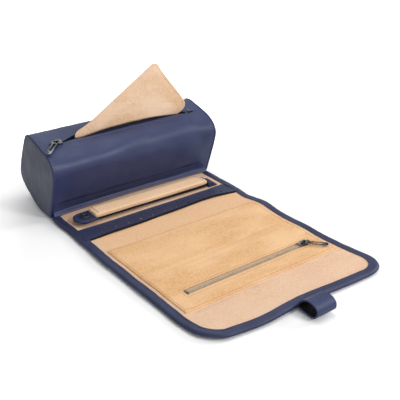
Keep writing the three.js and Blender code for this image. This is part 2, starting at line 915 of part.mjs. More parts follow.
for (const [side, from] of [
  ["left", pocketZipLeft + seam],
  ["right", pocketZipRight - stopLength - seam],
]) {
  const half = sliderWaist / 2;
  const stop = box(
    from,
    from + stopLength,
    -pocketZipCentre - half,
    -pocketZipCentre + half,
    pocketTeethFloor,
    pocketTop,
  );
  zip.add(named("pocket_stop_" + side, stop, metal(gunmetal)));
}

// Pocket slider and pull, at the right end with the pocket closed
const pocketDeck = pocketTop + seam;
const pocketSlider = new THREE.Group();
pocketSlider.name = "pocket_slider_frame";
pocketSlider.position.set(pocketSliderX, -pocketZipCentre, 0);
const pocketPull = named("pocket_pull", pullShape(), metal(gunmetal));
pocketPull.position.z = pocketDeck + pullSeat;
pocketPull.rotation.z = pocketPullTurn;
pocketSlider.add(named("pocket_slider", sliderShape(pocketDeck, pocketTeethFloor), metal(gunmetal)), pocketPull);
zip.add(pocketSlider);

export default roll;
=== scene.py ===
# %% [markdown]
# # An open jewelry roll
# A navy leather roll lies open on a white table: a zipped bolster at the back with a suede
# pouch standing in its mouth, and a panel of four sections with a ring bar, an earring
# strip, a zip pocket and a closure loop. The imported model gives every place and size. Each
# soft piece is made again here as leather or suede.

# %% Load the imported model
import json
import math
from bisect import bisect_right

import bmesh
import bpy
from mathutils import Matrix, Vector, noise

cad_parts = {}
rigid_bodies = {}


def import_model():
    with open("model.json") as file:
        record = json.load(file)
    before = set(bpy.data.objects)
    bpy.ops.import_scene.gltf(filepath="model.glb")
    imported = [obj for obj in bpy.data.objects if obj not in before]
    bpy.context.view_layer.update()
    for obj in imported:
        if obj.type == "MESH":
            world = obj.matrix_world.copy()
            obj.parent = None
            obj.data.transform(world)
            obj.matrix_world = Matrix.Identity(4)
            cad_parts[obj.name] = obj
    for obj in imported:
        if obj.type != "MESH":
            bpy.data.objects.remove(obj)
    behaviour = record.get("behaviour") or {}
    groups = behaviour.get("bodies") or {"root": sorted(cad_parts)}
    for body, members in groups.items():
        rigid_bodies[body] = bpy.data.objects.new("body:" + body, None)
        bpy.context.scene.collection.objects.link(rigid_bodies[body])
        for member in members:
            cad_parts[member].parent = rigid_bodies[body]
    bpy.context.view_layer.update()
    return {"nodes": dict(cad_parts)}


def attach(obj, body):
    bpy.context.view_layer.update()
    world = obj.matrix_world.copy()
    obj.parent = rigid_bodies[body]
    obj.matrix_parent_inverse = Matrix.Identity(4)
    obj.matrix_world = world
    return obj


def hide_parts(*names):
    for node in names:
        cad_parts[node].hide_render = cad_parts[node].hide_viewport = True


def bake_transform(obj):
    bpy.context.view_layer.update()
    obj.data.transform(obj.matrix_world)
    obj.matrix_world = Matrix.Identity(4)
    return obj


MM = 0.001
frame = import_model()
scene = bpy.context.scene
print("nodes in the frame:", len(frame["nodes"]))

# %% [markdown]
# The camera stands in front of the roll, to its left, and looks down over the open panel.
# Its place, its turn and its focal length were fitted to the edges of the panel and to the
# two ends of the bolster, so the numbers go straight into the camera's matrix.

# %% Camera
camera_place = Vector((-0.39795, -0.64797, 0.37188))
camera_yaw = math.radians(37.56)
camera_pitch = math.radians(26.60)
camera_roll = math.radians(0.67)
camera_lens = 63.87
sensor_width = 36


def camera_matrix(place, yaw, pitch, roll):
    forward = Vector((
        math.sin(yaw) * math.cos(pitch),
        math.cos(yaw) * math.cos(pitch),
        -math.sin(pitch),
    ))
    right = Vector((math.cos(yaw), -math.sin(yaw), 0))
    up = right.cross(forward)
    turned_right = right * math.cos(roll) + up * math.sin(roll)
    turned_up = up * math.cos(roll) - right * math.sin(roll)
    turn = Matrix((turned_right, turned_up, -forward)).transposed()
    return Matrix.Translation(place) @ turn.to_4x4()


camera = bpy.data.objects.new("camera", bpy.data.cameras.new("camera"))
scene.collection.objects.link(camera)
camera.data.sensor_width = sensor_width
camera.data.lens = camera_lens
camera.data.clip_start = 0.01
camera.matrix_world = camera_matrix(camera_place, camera_yaw, camera_pitch, camera_roll)
scene.camera = camera
print("camera at", tuple(round(v, 3) for v in camera_place))

# %% [markdown]
# The table is a wide white sheet. To the camera its colour is lifted a little past white, so
# that the lit floor turns white and only the dark of the shadow stays. It is lifted more, the
# farther the spot lies from the roll. All other rays see a plain pale colour.

# %% Floor
floor_half = 1.35
floor_drop = 0.0006
floor_tone = 0.80
lift_centre = (0.02, -0.13, 0)
lift_range = {"From Min": 0.20, "From Max": 0.85, "To Min": 1.03, "To Max": 4.0}


def nodes_of(owner):
    owner.use_nodes = True
    tree = owner.node_tree
    tree.nodes.clear()
    return tree, tree.nodes, tree.links


table_top = bmesh.new()
below = Matrix.Translation((0, 0, -floor_drop))
bmesh.ops.create_grid(table_top, x_segments=2, y_segments=2, size=floor_half, matrix=below)
floor = bpy.data.objects.new("floor", bpy.data.meshes.new("floor"))
table_top.to_mesh(floor.data)
table_top.free()
scene.collection.objects.link(floor)

floor_material = bpy.data.materials.new("white_table")
tree, nodes, links = nodes_of(floor_material)
rays = nodes.new("ShaderNodeLightPath")
spot = nodes.new("ShaderNodeTexCoord")
reach = nodes.new("ShaderNodeVectorMath")
reach.operation = "DISTANCE"
reach.inputs[1].default_value = lift_centre
links.new(spot.outputs["Object"], reach.inputs[0])
lift = nodes.new("ShaderNodeMapRange")
for label, value in lift_range.items():
    lift.inputs[label].default_value = value
links.new(reach.outputs["Value"], lift.inputs["Value"])
paint = nodes.new("ShaderNodeMapRange")
paint.inputs["To Min"].default_value = floor_tone
links.new(rays.outputs["Is Camera Ray"], paint.inputs["Value"])
links.new(lift.outputs["Result"], paint.inputs["To Max"])
table = nodes.new("ShaderNodeBsdfDiffuse")
links.new(paint.outputs["Result"], table.inputs["Color"])
sink = nodes.new("ShaderNodeOutputMaterial")
links.new(table.outputs[0], sink.inputs["Surface"])
floor.data.materials.append(floor_material)
print("floor:", 2 * floor_half, "m wide")

# %% [markdown]
# The world lights the roll weakly and evenly from all sides. The camera sees it as plain white
# beyond the floor, because the strength changes with the kind of ray that asks for it.

# %% World
world_tone = 0.36

world = bpy.data.worlds.new("studio")
scene.world = world
tree, nodes, links = nodes_of(world)
rays = nodes.new("ShaderNodeLightPath")
seen = nodes.new("ShaderNodeMath")
seen.operation = "MAXIMUM"
links.new(rays.outputs["Is Camera Ray"], seen.inputs[0])
links.new(rays.outputs["Is Transmission Ray"], seen.inputs[1])
strength = nodes.new("ShaderNodeMapRange")
strength.inputs["To Min"].default_value = world_tone
strength.inputs["To Max"].default_value = 1.0
links.new(seen.outputs[0], strength.inputs["Value"])
sky = nodes.new("ShaderNodeBackground")
sky.inputs["Color"].default_value = (1, 1, 1, 1)
links.new(strength.outputs["Result"], sky.inputs["Strength"])
sink = nodes.new("ShaderNodeOutputWorld")
links.new(sky.outputs[0], sink.inputs["Surface"])
print("world strength:", world_tone)

# %% [markdown]
# Five soft boxes light the roll. The key stands low and far on the right, so the shadow lies
# on the left. A small one in front lights the pouch. One overhead lights the suede, and the
# left of the bolster's rounded edge mirrors it. A wide one behind gives the sloping top its
# even sheen, and a weak one in front opens the shadows.

# %% Lamps
def soft_box(name, place, aim, size, power):
    lamp = bpy.data.lights.new(name, "AREA")
    lamp.shape = "RECTANGLE"
    lamp.size, lamp.size_y = size
    lamp.energy = power
    box = bpy.data.objects.new(name, lamp)
    box.location = place
    box.rotation_euler = (Vector(aim) - Vector(place)).to_track_quat("-Z", "Y").to_euler()
    scene.collection.objects.link(box)
    return box


lamps = [
    soft_box("key", (1.98, -0.50, 0.92), (0, -0.1, 0), (0.75, 0.75), 19.0),
    soft_box("top", (0.22, 0.04, 1.40), (0, -0.1, 0), (0.9, 0.9), 5.4),
    soft_box("window", (0.43, -1.16, 0.86), (0, -0.05, 0.05), (0.32, 0.32), 6.4),
    soft_box("back", (0.45, 1.35, 1.15), (0, 0, 0), (2.0, 1.2), 5.8),
    soft_box("fill", (-0.45, -1.6, 0.65), (0, -0.1, 0.05), (1.6, 1.2), 4.8),
]
print("lamps:", {lamp.name: round(lamp.data.energy, 1) for lamp in lamps})

# %% [markdown]
# ## Finishes
# Leather, suede, woven tape and plated metal each need a small repeating surface. Each such
# surface is a node group that is built once and placed in every material that uses it, with
# its own scale. The groups put out heights and masks only, and the Principled shader stays
# in the material. All patterns read Object coordinates, which on this model are metres.

# %% Small helpers for node groups
def start_group(name, inputs, outputs):
    group = bpy.data.node_groups.new(name, "ShaderNodeTree")
    for label, kind, value in inputs:
        socket = group.interface.new_socket(label, in_out="INPUT", socket_type=kind)
        if value is not None:
            socket.default_value = value
    for label in outputs:
        group.interface.new_socket(label, in_out="OUTPUT", socket_type="NodeSocketFloat")
    return group, group.nodes.new("NodeGroupInput"), group.nodes.new("NodeGroupOutput")


def set_or_link(tree, socket, value):
    if isinstance(value, (int, float)):
        socket.default_value = value
    else:
        tree.links.new(value, socket)


def add_noise(tree, vector, scale, detail=3, roughness=0.55):
    node = tree.nodes.new("ShaderNodeTexNoise")
    node.inputs["Detail"].default_value = detail
    node.inputs["Roughness"].default_value = roughness
    tree.links.new(vector, node.inputs["Vector"])
    set_or_link(tree, node.inputs["Scale"], scale)
    return node.outputs["Fac"]


def add_math(tree, operation, first, second=0.5):
    node = tree.nodes.new("ShaderNodeMath")
    node.operation = operation
    set_or_link(tree, node.inputs[0], first)
    set_or_link(tree, node.inputs[1], second)
    return node.outputs[0]


def add_range(tree, value, low, high, to_low=0.0, to_high=1.0):
    node = tree.nodes.new("ShaderNodeMapRange")
    node.interpolation_type = "SMOOTHSTEP"
    tree.links.new(value, node.inputs["Value"])
    numbers = {"From Min": low, "From Max": high, "To Min": to_low, "To Max": to_high}
    for label, number in numbers.items():
        node.inputs[label].default_value = number
    return node.outputs["Result"]


def add_stretch(tree, vector, scale):
    node = tree.nodes.new("ShaderNodeMapping")
    node.inputs["Scale"].default_value = scale
    tree.links.new(vector, node.inputs["Vector"])
    return node.outputs["Vector"]


# %% [markdown]
# Smooth leather shows tiny pebbles between fine valleys. A Voronoi texture's distance to its
# cell edges gives the valleys, a second, wider noise breaks them up, and a slow noise gives
# the soft unevenness of a hide. The first output is the height, the second a slow mask for
# colour and gloss.

# %% Leather grain group
grain, start, end = start_group(
    "leather_grain",
    [
        ("Vector", "NodeSocketVector", None),
        ("Pebble Scale", "NodeSocketFloat", 1400.0),
        ("Hide Scale", "NodeSocketFloat", 24.0),
    ],
    ["Height", "Hide"],
)
cells = grain.nodes.new("ShaderNodeTexVoronoi")
cells.feature = "DISTANCE_TO_EDGE"
grain.links.new(start.outputs["Vector"], cells.inputs["Vector"])
grain.links.new(start.outputs["Pebble Scale"], cells.inputs["Scale"])
pebbles = add_range(grain, cells.outputs["Distance"], 0.0, 0.35)
soft = add_noise(grain, start.outputs["Vector"], 420, detail=4)
hide = add_noise(grain, start.outputs["Vector"], start.outputs["Hide Scale"], detail=4)
relief = add_math(grain, "MULTIPLY", pebbles, soft)
grain.links.new(add_math(grain, "ADD", relief, soft), end.inputs["Height"])
grain.links.new(add_range(grain, hide, 0.34, 0.68), end.inputs["Hide"])
print("leather grain nodes:", len(grain.nodes))

# %% [markdown]
# Suede is a brushed nap. Wherever a finger has passed, the fibres lie another way and that
# patch looks darker or paler. A fine noise and a coarser one make the fibres, and a slow
# noise that is drawn out along the width of the roll makes the brushed patches.

# %% Suede nap group
nap, start, end = start_group(
    "suede_nap",
    [("Vector", "NodeSocketVector", None), ("Patch Scale", "NodeSocketFloat", 26.0)],
    ["Height", "Patches", "Fibres"],
)
fibres = add_noise(nap, start.outputs["Vector"], 2600, detail=3, roughness=0.7)
tufts = add_noise(nap, start.outputs["Vector"], 620, detail=3, roughness=0.6)
brushed = add_stretch(nap, start.outputs["Vector"], (0.55, 1.5, 1.0))
slow = add_noise(nap, brushed, start.outputs["Patch Scale"], detail=5, roughness=0.6)
nap.links.new(add_math(nap, "ADD", fibres, tufts), end.inputs["Height"])
nap.links.new(add_range(nap, slow, 0.33, 0.67), end.inputs["Patches"])
nap.links.new(add_range(nap, tufts, 0.3, 0.7), end.inputs["Fibres"])
print("suede nap nodes:", len(nap.nodes))

# %% [markdown]
# The zip tape is a tight herringbone weave, so two crossing waves are enough at this size.

# %% Tape weave group
weave, start, end = start_group("tape_weave", [("Vector", "NodeSocketVector", None)], ["Height"])
ribs = []
for direction in ("X", "Y"):
    wave = weave.nodes.new("ShaderNodeTexWave")
    wave.bands_direction = direction
    wave.inputs["Scale"].default_value = 420
    wave.inputs["Distortion"].default_value = 0.6
    weave.links.new(start.outputs["Vector"], wave.inputs["Vector"])
    ribs.append(wave.outputs["Fac"])
weave.links.new(add_math(weave, "MULTIPLY", *ribs), end.inputs["Height"])
print("tape weave nodes:", len(weave.nodes))

# %% [markdown]
# Plated zip parts are barrel polished: bright, with faint scratches and duller hollows.

# %% Plating group
plating, start, end = start_group(
    "plating", [("Vector", "NodeSocketVector", None)], ["Scratches", "Tarnish"]
)
drawn = add_stretch(plating, start.outputs["Vector"], (1.0, 6.0, 6.0))
plating.links.new(add_noise(plating, drawn, 900, detail=5), end.inputs["Scratches"])
hollows = add_noise(plating, start.outputs["Vector"], 260)
plating.links.new(add_range(plating, hollows, 0.35, 0.7), end.inputs["Tarnish"])
print("plating nodes:", len(plating.nodes))


# %% [markdown]
# A material starts the same way every time: a Principled shader with Object coordinates. The
# colour comes from a mix of two or three close shades, and the relief goes to a Bump node.

# %% Helpers for materials
def start_material(name, roughness, **constants):
    material = bpy.data.materials.new(name)
    tree, nodes, links = nodes_of(material)
    shader = nodes.new("ShaderNodeBsdfPrincipled")
    sink = nodes.new("ShaderNodeOutputMaterial")
    links.new(shader.outputs["BSDF"], sink.inputs["Surface"])
    shader.inputs["Roughness"].default_value = roughness
    for label, value in constants.items():
        shader.inputs[label.replace("_", " ")].default_value = value
    place = nodes.new("ShaderNodeTexCoord").outputs["Object"]
    return material, tree, shader, place


def add_group(tree, group, vector, **values):
    node = tree.nodes.new("ShaderNodeGroup")
    node.node_tree = group
    tree.links.new(vector, node.inputs["Vector"])
    for label, value in values.items():
        node.inputs[label.replace("_", " ")].default_value = value
    return node


def add_mix(tree, factor, first, second):
    node = tree.nodes.new("ShaderNodeMix")
    node.data_type = "RGBA"
    tree.links.new(factor, node.inputs["Factor"])
    for socket, value in ((node.inputs[6], first), (node.inputs[7], second)):
        if isinstance(value, tuple):
            socket.default_value = (*value, 1)
        else:
            tree.links.new(value, socket)
    return node.outputs[2]


def add_bump(tree, shader, height, distance, strength=1.0):
    node = tree.nodes.new("ShaderNodeBump")
    node.inputs["Strength"].default_value = strength
    node.inputs["Distance"].default_value = distance
    tree.links.new(height, node.inputs["Height"])
    tree.links.new(node.outputs["Normal"], shader.inputs["Normal"])


# %% [markdown]
# The roll is covered in smooth navy leather with a satin finish. The two ends of the bolster
# are the same hide, duller and coloured greyer and lighter; that lighter, greyer colour is
# painted sheen of the light on the ends. They hang in faint upright folds, which are a noise
# drawn out along Z. The binding and the earring strap are a thinner, duller leather.
# Pebbles are about 0.7 mm across.

# %% Leather materials
pebble_scale = 1400.0
grain_relief = 0.00006
fold_scale = 110
fold_stretch = (1.0, 1.0, 0.22)


def leather_finish(name, dark, light, roughness, folds=0.0):
    material, tree, shader, place = start_material(name, roughness, Specular_IOR_Level=0.5)
    skin = add_group(tree, grain, place, Pebble_Scale=pebble_scale)
    tree.links.new(add_mix(tree, skin.outputs["Hide"], dark, light), shader.inputs["Base Color"])
    gloss = add_range(tree, skin.outputs["Hide"], 0.0, 1.0, roughness + 0.04, roughness - 0.05)
    tree.links.new(gloss, shader.inputs["Roughness"])
    height = skin.outputs["Height"]
    if folds:
        slack = add_noise(tree, add_stretch(tree, place, fold_stretch), fold_scale, detail=2)
        height = add_math(tree, "ADD", height, add_math(tree, "MULTIPLY", slack, folds / grain_relief))
    add_bump(tree, shader, height, grain_relief)
    return material


navy = leather_finish("navy_leather", (0.019, 0.031, 0.100), (0.026, 0.040, 0.122), 0.43)
# The end discs: the same hide, coloured lighter and greyer as painted sheen of the light on the ends.
cap_sheen_leather = leather_finish("cap_leather_painted_sheen", (0.048, 0.056, 0.099), (0.061, 0.070, 0.121), 0.47, folds=0.0009)
bound_leather = leather_finish("dull_navy_leather", (0.016, 0.023, 0.070), (0.022, 0.031, 0.090), 0.52)
finishes = {"navy_leather": navy, "cap_leather": cap_sheen_leather}
print("leathers:", navy.name, cap_sheen_leather.name, bound_leather.name)


# %% [markdown]
# The inside is lined with suede. The zip pocket is the warmest in colour, and so is the lining
# between the earring strip and the pocket. The rest of the lining is paler and pinker, and so
# is the pouch. The warm stretch of the lining is a mask on the Object coordinates.

# %% Suede materials
warm_tan = (0.755, 0.450, 0.220)


def warm_stretch(tree, place):
    parts = tree.nodes.new("ShaderNodeSeparateXYZ")
    tree.links.new(place, parts.inputs["Vector"])
    below_strip = add_range(tree, parts.outputs["Y"], -0.060, -0.072)
    above_flap = add_range(tree, parts.outputs["Y"], -0.238, -0.150)
    off_side = add_range(tree, add_math(tree, "ABSOLUTE", parts.outputs["X"]), 0.100, 0.088)
    lengthwise = add_math(tree, "MULTIPLY", below_strip, above_flap)
    return add_math(tree, "MULTIPLY", lengthwise, off_side)


def suede_finish(name, rubbed, plain, raised, patch_scale=26.0, warm=None):
    material, tree, shader, place = start_material(
        name, 0.92, Specular_IOR_Level=0.2, Sheen_Weight=0.12, Sheen_Roughness=0.6
    )
    brushed = add_group(tree, nap, place, Patch_Scale=patch_scale)
    body_colour = add_mix(tree, brushed.outputs["Patches"], rubbed, plain)
    if warm:
        body_colour = add_mix(tree, warm_stretch(tree, place), body_colour, warm)
    speckle = add_math(tree, "MULTIPLY", brushed.outputs["Fibres"], 0.55)
    tree.links.new(add_mix(tree, speckle, body_colour, raised), shader.inputs["Base Color"])
    add_bump(tree, shader, brushed.outputs["Height"], 0.00012, 0.8)
    return material


finishes["tan_suede"] = suede_finish(
    "tan_suede", (0.660, 0.355, 0.140), (0.800, 0.500, 0.260), (0.91, 0.60, 0.34)
)
finishes["pale_suede"] = suede_finish(
    "pale_suede", (0.680, 0.425, 0.262), (0.735, 0.498, 0.336), (0.86, 0.60, 0.42), warm=warm_tan
)
finishes["bar_padding"] = suede_finish(
    "padded_suede", (0.770, 0.495, 0.292), (0.825, 0.560, 0.352), (0.92, 0.65, 0.43)
)
pouch_suede = suede_finish(
    "pouch_suede", (0.645, 0.385, 0.195), (0.830, 0.600, 0.425), (0.94, 0.72, 0.53), 34.0
)
print("suedes:", [name for name in finishes if "suede" in name or "pad" in name])

# %% [markdown]
# Zip tape, dark nickel and the black press stud finish the list. The tape is woven, and the
# metal is a full metal with scratches in its roughness. Enamel, nylon coils and a flat black
# that is painted shade come from the same maker without the metal.

# %% Tape and metal materials
material, tree, shader, place = start_material("woven_tape", 0.85, Sheen_Weight=0.1)
woven = add_group(tree, weave, place)
threads = add_mix(tree, woven.outputs["Height"], (0.50, 0.370, 0.235), (0.74, 0.570, 0.375))
tree.links.new(threads, shader.inputs["Base Color"])
add_bump(tree, shader, woven.outputs["Height"], 0.0001)
finishes["zip_tape"] = material


def metal_finish(name, clean, dull, roughness, metallic=0.0, shine=0.5):
    material, tree, shader, place = start_material(
        name, roughness, Metallic=metallic, Specular_IOR_Level=shine
    )
    wear = add_group(tree, plating, place)
    tree.links.new(add_mix(tree, wear.outputs["Tarnish"], clean, dull), shader.inputs["Base Color"])
    gloss = add_range(tree, wear.outputs["Scratches"], 0.3, 0.7, roughness - 0.06, roughness + 0.08)
    tree.links.new(gloss, shader.inputs["Roughness"])
    add_bump(tree, shader, wear.outputs["Scratches"], 0.00001)
    return material


finishes["zip_metal"] = metal_finish("dark_nickel", (0.24, 0.24, 0.25), (0.06, 0.06, 0.065), 0.18, 1.0)
finishes["snap_metal"] = metal_finish("black_enamel", (0.012, 0.012, 0.016), (0.022, 0.022, 0.028), 0.30)
# Flat black that is painted shade: it stands for the shade under the strap's free edge, under the ring bar's
# pad and inside the closure loop.
black_painted_shade = metal_finish("black_painted_shade", (0.010, 0.010, 0.015), (0.016, 0.016, 0.022), 0.55, shine=0.12)
tan_coil = metal_finish("tan_nylon", (0.74, 0.59, 0.42), (0.58, 0.45, 0.32), 0.50)
# Near-black navy for the mouth's tapes and coils: partly their own dark colour, partly painted shade of the
# gap under the pouch.
navy_coil_and_shade = metal_finish("navy_nylon_and_painted_shade", (0.008, 0.010, 0.026), (0.005, 0.006, 0.014), 0.60, shine=0.12)
print("finishes:", sorted(finishes))

# %% [markdown]
# ## Shared geometry
# Every shape is written in millimetres and made small at the very end, when the bmesh becomes
# an object. The panel is soft and lies a little out of true: its left side sways inwards, its
# front edge runs slightly askew, and its sides lift a little off the table. One function moves
# every layer in the same way, so the layers stay on top of each other. It lifts nothing under
# the ring bar and hardly anything along the pocket's zip, because those hard pieces lie true.

# %% Sizes that many pieces share
half_width = 108
foot_y, ring_fold_y, zip_fold_y, flap_fold_y, front_y = -6, -80, -162, -241, -284
corner_radius = 26
corner_y = front_y + corner_radius
pocket_zip_y = -210
crease_angle = math.radians(38)


def smooth_step(low, high, value):
    share = min(max((value - low) / (high - low), 0.0), 1.0)
    return share * share * (3 - 2 * share)


def bump(value, centre, spread):
    return math.exp(-(((value - centre) / spread) ** 2))


def bumps(value, rows):
    return sum(size * bump(value, centre, spread) for size, centre, spread in rows)


def between(value, low, full, fall, end):
    return smooth_step(low, full, value) * (1 - smooth_step(fall, end, value))


def waver(x, y, size, seed=0.0):
    return noise.noise(Vector((x / size + seed, y / size - seed, seed)))


# %% [markdown]
# The rows below say where the sides of the panel lift or sway: how far, at which place along
# the panel and over what length, in millimetres. They were read off the photographed edges.

# %% How the panel lies
left_lifts = ((0.9, -116, 26), (0.5, -186, 18), (1.1, -276, 20))
right_lifts = ((0.7, -112, 24), (0.5, -180, 20))
left_sways = ((1.0, -22, 14), (2.3, -114, 32), (1.1, -172, 26), (1.0, -66, 12))
right_sways = ((3.0, -88, 15), (-1.9, -115, 15), (1.0, -154, 24))


def panel_lift(x, y):
    lift = smooth_step(62, 108, -x) * bumps(y, left_lifts)
    lift += smooth_step(62, 108, x) * bumps(y, right_lifts)
    lift += 0.7 * bump(x, 6, 34) * smooth_step(-262, -284, y)
    calm = smooth_step(-46, -70, y) * smooth_step(7, 20, abs(y - pocket_zip_y))
    lift += calm * 0.45 * (1 + waver(x, y, 34, 3.1)) * (1 - 0.5 * smooth_step(88, 104, abs(x)))
    return lift * smooth_step(-40, -66, y)


def panel_sway(x, y):
    left, right = smooth_step(58, 106, -x), smooth_step(58, 106, x)
    front = smooth_step(-236, -280, y)
    across = -left * bumps(y, left_sways) - right * bumps(y, right_sways)
    across += right * 3.2 * smooth_step(-205, -262, y)
    across += 4.2 * front * smooth_step(66, 102, abs(x))
    askew = -(1.9 + 0.040 * x) * (1 - 0.7 * bump(x, 4, 26))
    along = front * (askew - 2.8 * bump(x, -46, 26))
    return across, along


def settle(x, y, z):
    across, along = panel_sway(x, y)
    return Vector((x + across, y + along, z + panel_lift(x, y)))


def side_reach(y, reach=half_width, radius=corner_radius):
    into = corner_y - y
    if into <= 0:
        return reach
    return reach - radius + math.sqrt(max(radius * radius - into * into, 0.0))


print("the left edge sways", round(panel_sway(-108, -116)[0], 2), "mm")
print("the right corner moves", round(panel_sway(108, -284)[1], 2), "mm")

# %% [markdown]
# One helper turns a bmesh into a finished object: it merges doubles, points the faces
# outwards, shades smoothly apart from true creases and gives the finish. It also puts the
# piece on its body and hides the solids it stands for.

# %% Helpers for pieces
def dress(piece, finish, body=None, stands_for=(), look=None):
    piece.data.materials.clear()
    piece.data.materials.append(look or finishes[finish])
    if body:
        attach(piece, body)
    if stands_for:
        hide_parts(*stands_for)
    return piece


def weld(shape, distance=0.01):
    bmesh.ops.remove_doubles(shape, verts=shape.verts, dist=distance)


def make_piece(name, shape, finish, body=None, stands_for=(), merge=0.002, look=None):
    weld(shape, merge)
    bmesh.ops.recalc_face_normals(shape, faces=shape.faces)
    for edge in shape.edges:
        edge.smooth = len(edge.link_faces) == 2 and edge.calc_face_angle(0) < crease_angle
    for face in shape.faces:
        face.smooth = True
    bmesh.ops.scale(shape, vec=(MM, MM, MM), verts=shape.verts)
    data = bpy.data.meshes.new(name)
    shape.to_mesh(data)
    shape.free()
    piece = bpy.data.objects.new(name, data)
    scene.collection.objects.link(piece)
    return dress(piece, finish, body, stands_for, look)


# %% [markdown]
# Most pieces start as a flat grid whose points a function puts in place. A second helper
# extrudes the grid to a closed slab, and a third fills rings of edges that stay open.

# %% Helpers for grids
def spread(low, high, step):
    count = max(1, round(abs(high - low) / step))
    return [low + (high - low) * i / count for i in range(count + 1)]


def make_grid(columns, rows, place):
    shape = bmesh.new()
    last_column, last_row = len(columns) - 1, len(rows) - 1
    bmesh.ops.create_grid(shape, x_segments=last_column, y_segments=last_row, size=0.5)
    for vert in shape.verts:
        column = round((vert.co.x + 0.5) * last_column)
        row = round((vert.co.y + 0.5) * last_row)
        vert.co = place(columns[column], rows[row])
    return shape


def down(depth):
    return lambda co: co - Vector((0, 0, depth))


def thicken(shape, shift):
    made = bmesh.ops.extrude_face_region(shape, geom=shape.faces[:])
    new = [item for item in made["geom"] if isinstance(item, bmesh.types.BMVert)]
    for vert in new:
        vert.co = shift(vert.co)


def close_ends(shape):
    rims = [edge for edge in shape.edges if len(edge.link_faces) == 1]
    bmesh.ops.holes_fill(shape, edges=rims, sides=0)


# %% [markdown]
# Four pieces are finished with modifiers: the earring strap, the wall and the lining of the
# bolster, and the closure loop. Where the thickness must grow inwards, one face is looked at
# first, and the mesh is turned round if that face points the wrong way. Applying the modifiers
# leaves a plain mesh.

# %% Helpers for walls and modifiers
def turn_outwards(piece, spot, outward):
    near = min(piece.data.polygons, key=lambda face: (face.center - Vector(spot) * MM).length)
    if near.normal.dot(Vector(outward)) < 0:
        piece.data.flip_normals()


def give_wall(piece, thickness, offset):
    wall = piece.modifiers.new("thickness", "SOLIDIFY")
    wall.thickness = thickness * MM
    wall.offset = offset
    return wall


def apply_modifiers(piece):
    bpy.context.view_layer.update()
    seen = piece.evaluated_get(bpy.context.evaluated_depsgraph_get())
    final = bpy.data.meshes.new_from_object(seen)
    old = piece.data
    piece.modifiers.clear()
    piece.data = final
    final.name = old.name


# %% [markdown]
# ## The folding panel
# The panel is one long lamination: navy leather outside, suede inside, both inside a folded
# leather binding. It bends at four folds. Each layer is cut at the middle of the sections, so
# every part of it crosses one fold, and the cuts lie where nothing moves.

# %% The four parts of the panel
cut_back, cut_middle, cut_front = -43, -121, -202
panel_parts = {
    "ring": dict(back=foot_y + 1, front=cut_back, bodies=("bolster", "ring_section"), fold=foot_y, half=5),
    "pocket": dict(
        back=cut_back, front=cut_middle, bodies=("ring_section", "pocket_section"), fold=ring_fold_y, half=10
    ),
    "zip": dict(
        back=cut_middle, front=cut_front, bodies=("pocket_section", "zip_section"), fold=zip_fold_y, half=10
    ),
    "flap": dict(back=cut_front, front=front_y, bodies=("zip_section", "flap"), fold=flap_fold_y, half=9),
}


def bend_piece(piece, part):
    facts = panel_parts[part]
    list(facts["bodies"])
    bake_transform(piece)


print("panel parts:", list(panel_parts))

# %% [markdown]
# A layer is a slab that ends a little inside the binding. It is as wide as the panel's outline
# at each row, so on the flap it follows the round corners. Its cut size is measured on the
# flat grid before the slab gets its thickness.

# %% Layers of the panel
column_width, row_length, flap_row_length = 3.0, 2.4, 1.6


def panel_slab(name, part, reach, bottom, top, finish, stands_for, back=None):
    facts = panel_parts[part]
    pitch = flap_row_length if part == "flap" else row_length
    rows = spread(back or facts["back"], facts["front"], pitch)
    inset = half_width - reach
    shrink = (front_y + inset) / front_y
    columns = spread(-1, 1, column_width / reach)

    def place(x, y):
        y = y * shrink if part == "flap" and y < flap_fold_y else y
        return settle(x * side_reach(y, reach, corner_radius - inset), y, top)

    shape = make_grid(columns, rows, place)
    area = sum(face.calc_area() for face in shape.faces)
    thicken(shape, down(top - bottom))
    piece = make_piece(name, shape, finish, stands_for=stands_for)
    bend_piece(piece, part)
    cut = (2 * reach * MM, abs(rows[-1] - rows[0]) * MM)
    area = min(area * MM * MM, cut[0] * cut[1])


outer_nodes = {
    "ring": ["ring_section_leather"],
    "pocket": ["ring_section_leather", "pocket_section_leather"],
    "zip": ["pocket_section_leather", "zip_section_leather"],
    "flap": ["zip_section_leather", "flap_leather"],
}
outer_reach, inner_reach = 105, 104
lining_start = foot_y + 4.2
for part, names in outer_nodes.items():
    panel_slab(f"outer_leather_{part}", part, outer_reach, 1.0, 2.2, "navy_leather", names)
    names = [name.replace("leather", "suede") for name in names]
    back = lining_start if part == "ring" else None
    panel_slab(f"suede_lining_{part}", part, inner_reach, 2.4, 3.4, "pale_suede", names, back)
print("panel layers:", [o.name for o in scene.objects if "lining_" in o.name])

# %% [markdown]
# The binding is a strip of navy leather folded over the raw edge and stitched down. Its
# section is a flat hook: a padded top flange with a stitch groove, a round outer edge and a
# flat underside. The section starts as one loop of vertices and is pushed along the edge
# with extrude, and turned round the two front corners with spin.

# %% Section of the binding
binding_section = [
    (9.3, 3.7), (9.25, 4.15), (8.6, 4.4), (7.9, 4.24), (7.4, 4.22), (6.8, 4.42), (5.6, 4.62), (4.0, 4.66),
    (2.5, 4.45), (1.2, 3.95), (0.4, 3.1), (0.0, 2.1), (0.25, 1.1), (1.2, 0.3), (2.6, 0.0), (7.0, 0.0),
    (7.0, 0.7), (3.2, 0.75), (1.9, 1.2), (1.5, 2.1), (1.9, 3.0), (3.2, 3.5), (6.5, 3.6),
]
binding_step = 2.4


def start_section(shape, side, y):
    verts = [shape.verts.new((side * (half_width - inward), y, z)) for inward, z in binding_section]
    return [shape.edges.new((a, b)) for a, b in zip(verts, verts[1:] + verts[:1])]


def edges_in(items):
    return [item for item in items if isinstance(item, bmesh.types.BMEdge)]


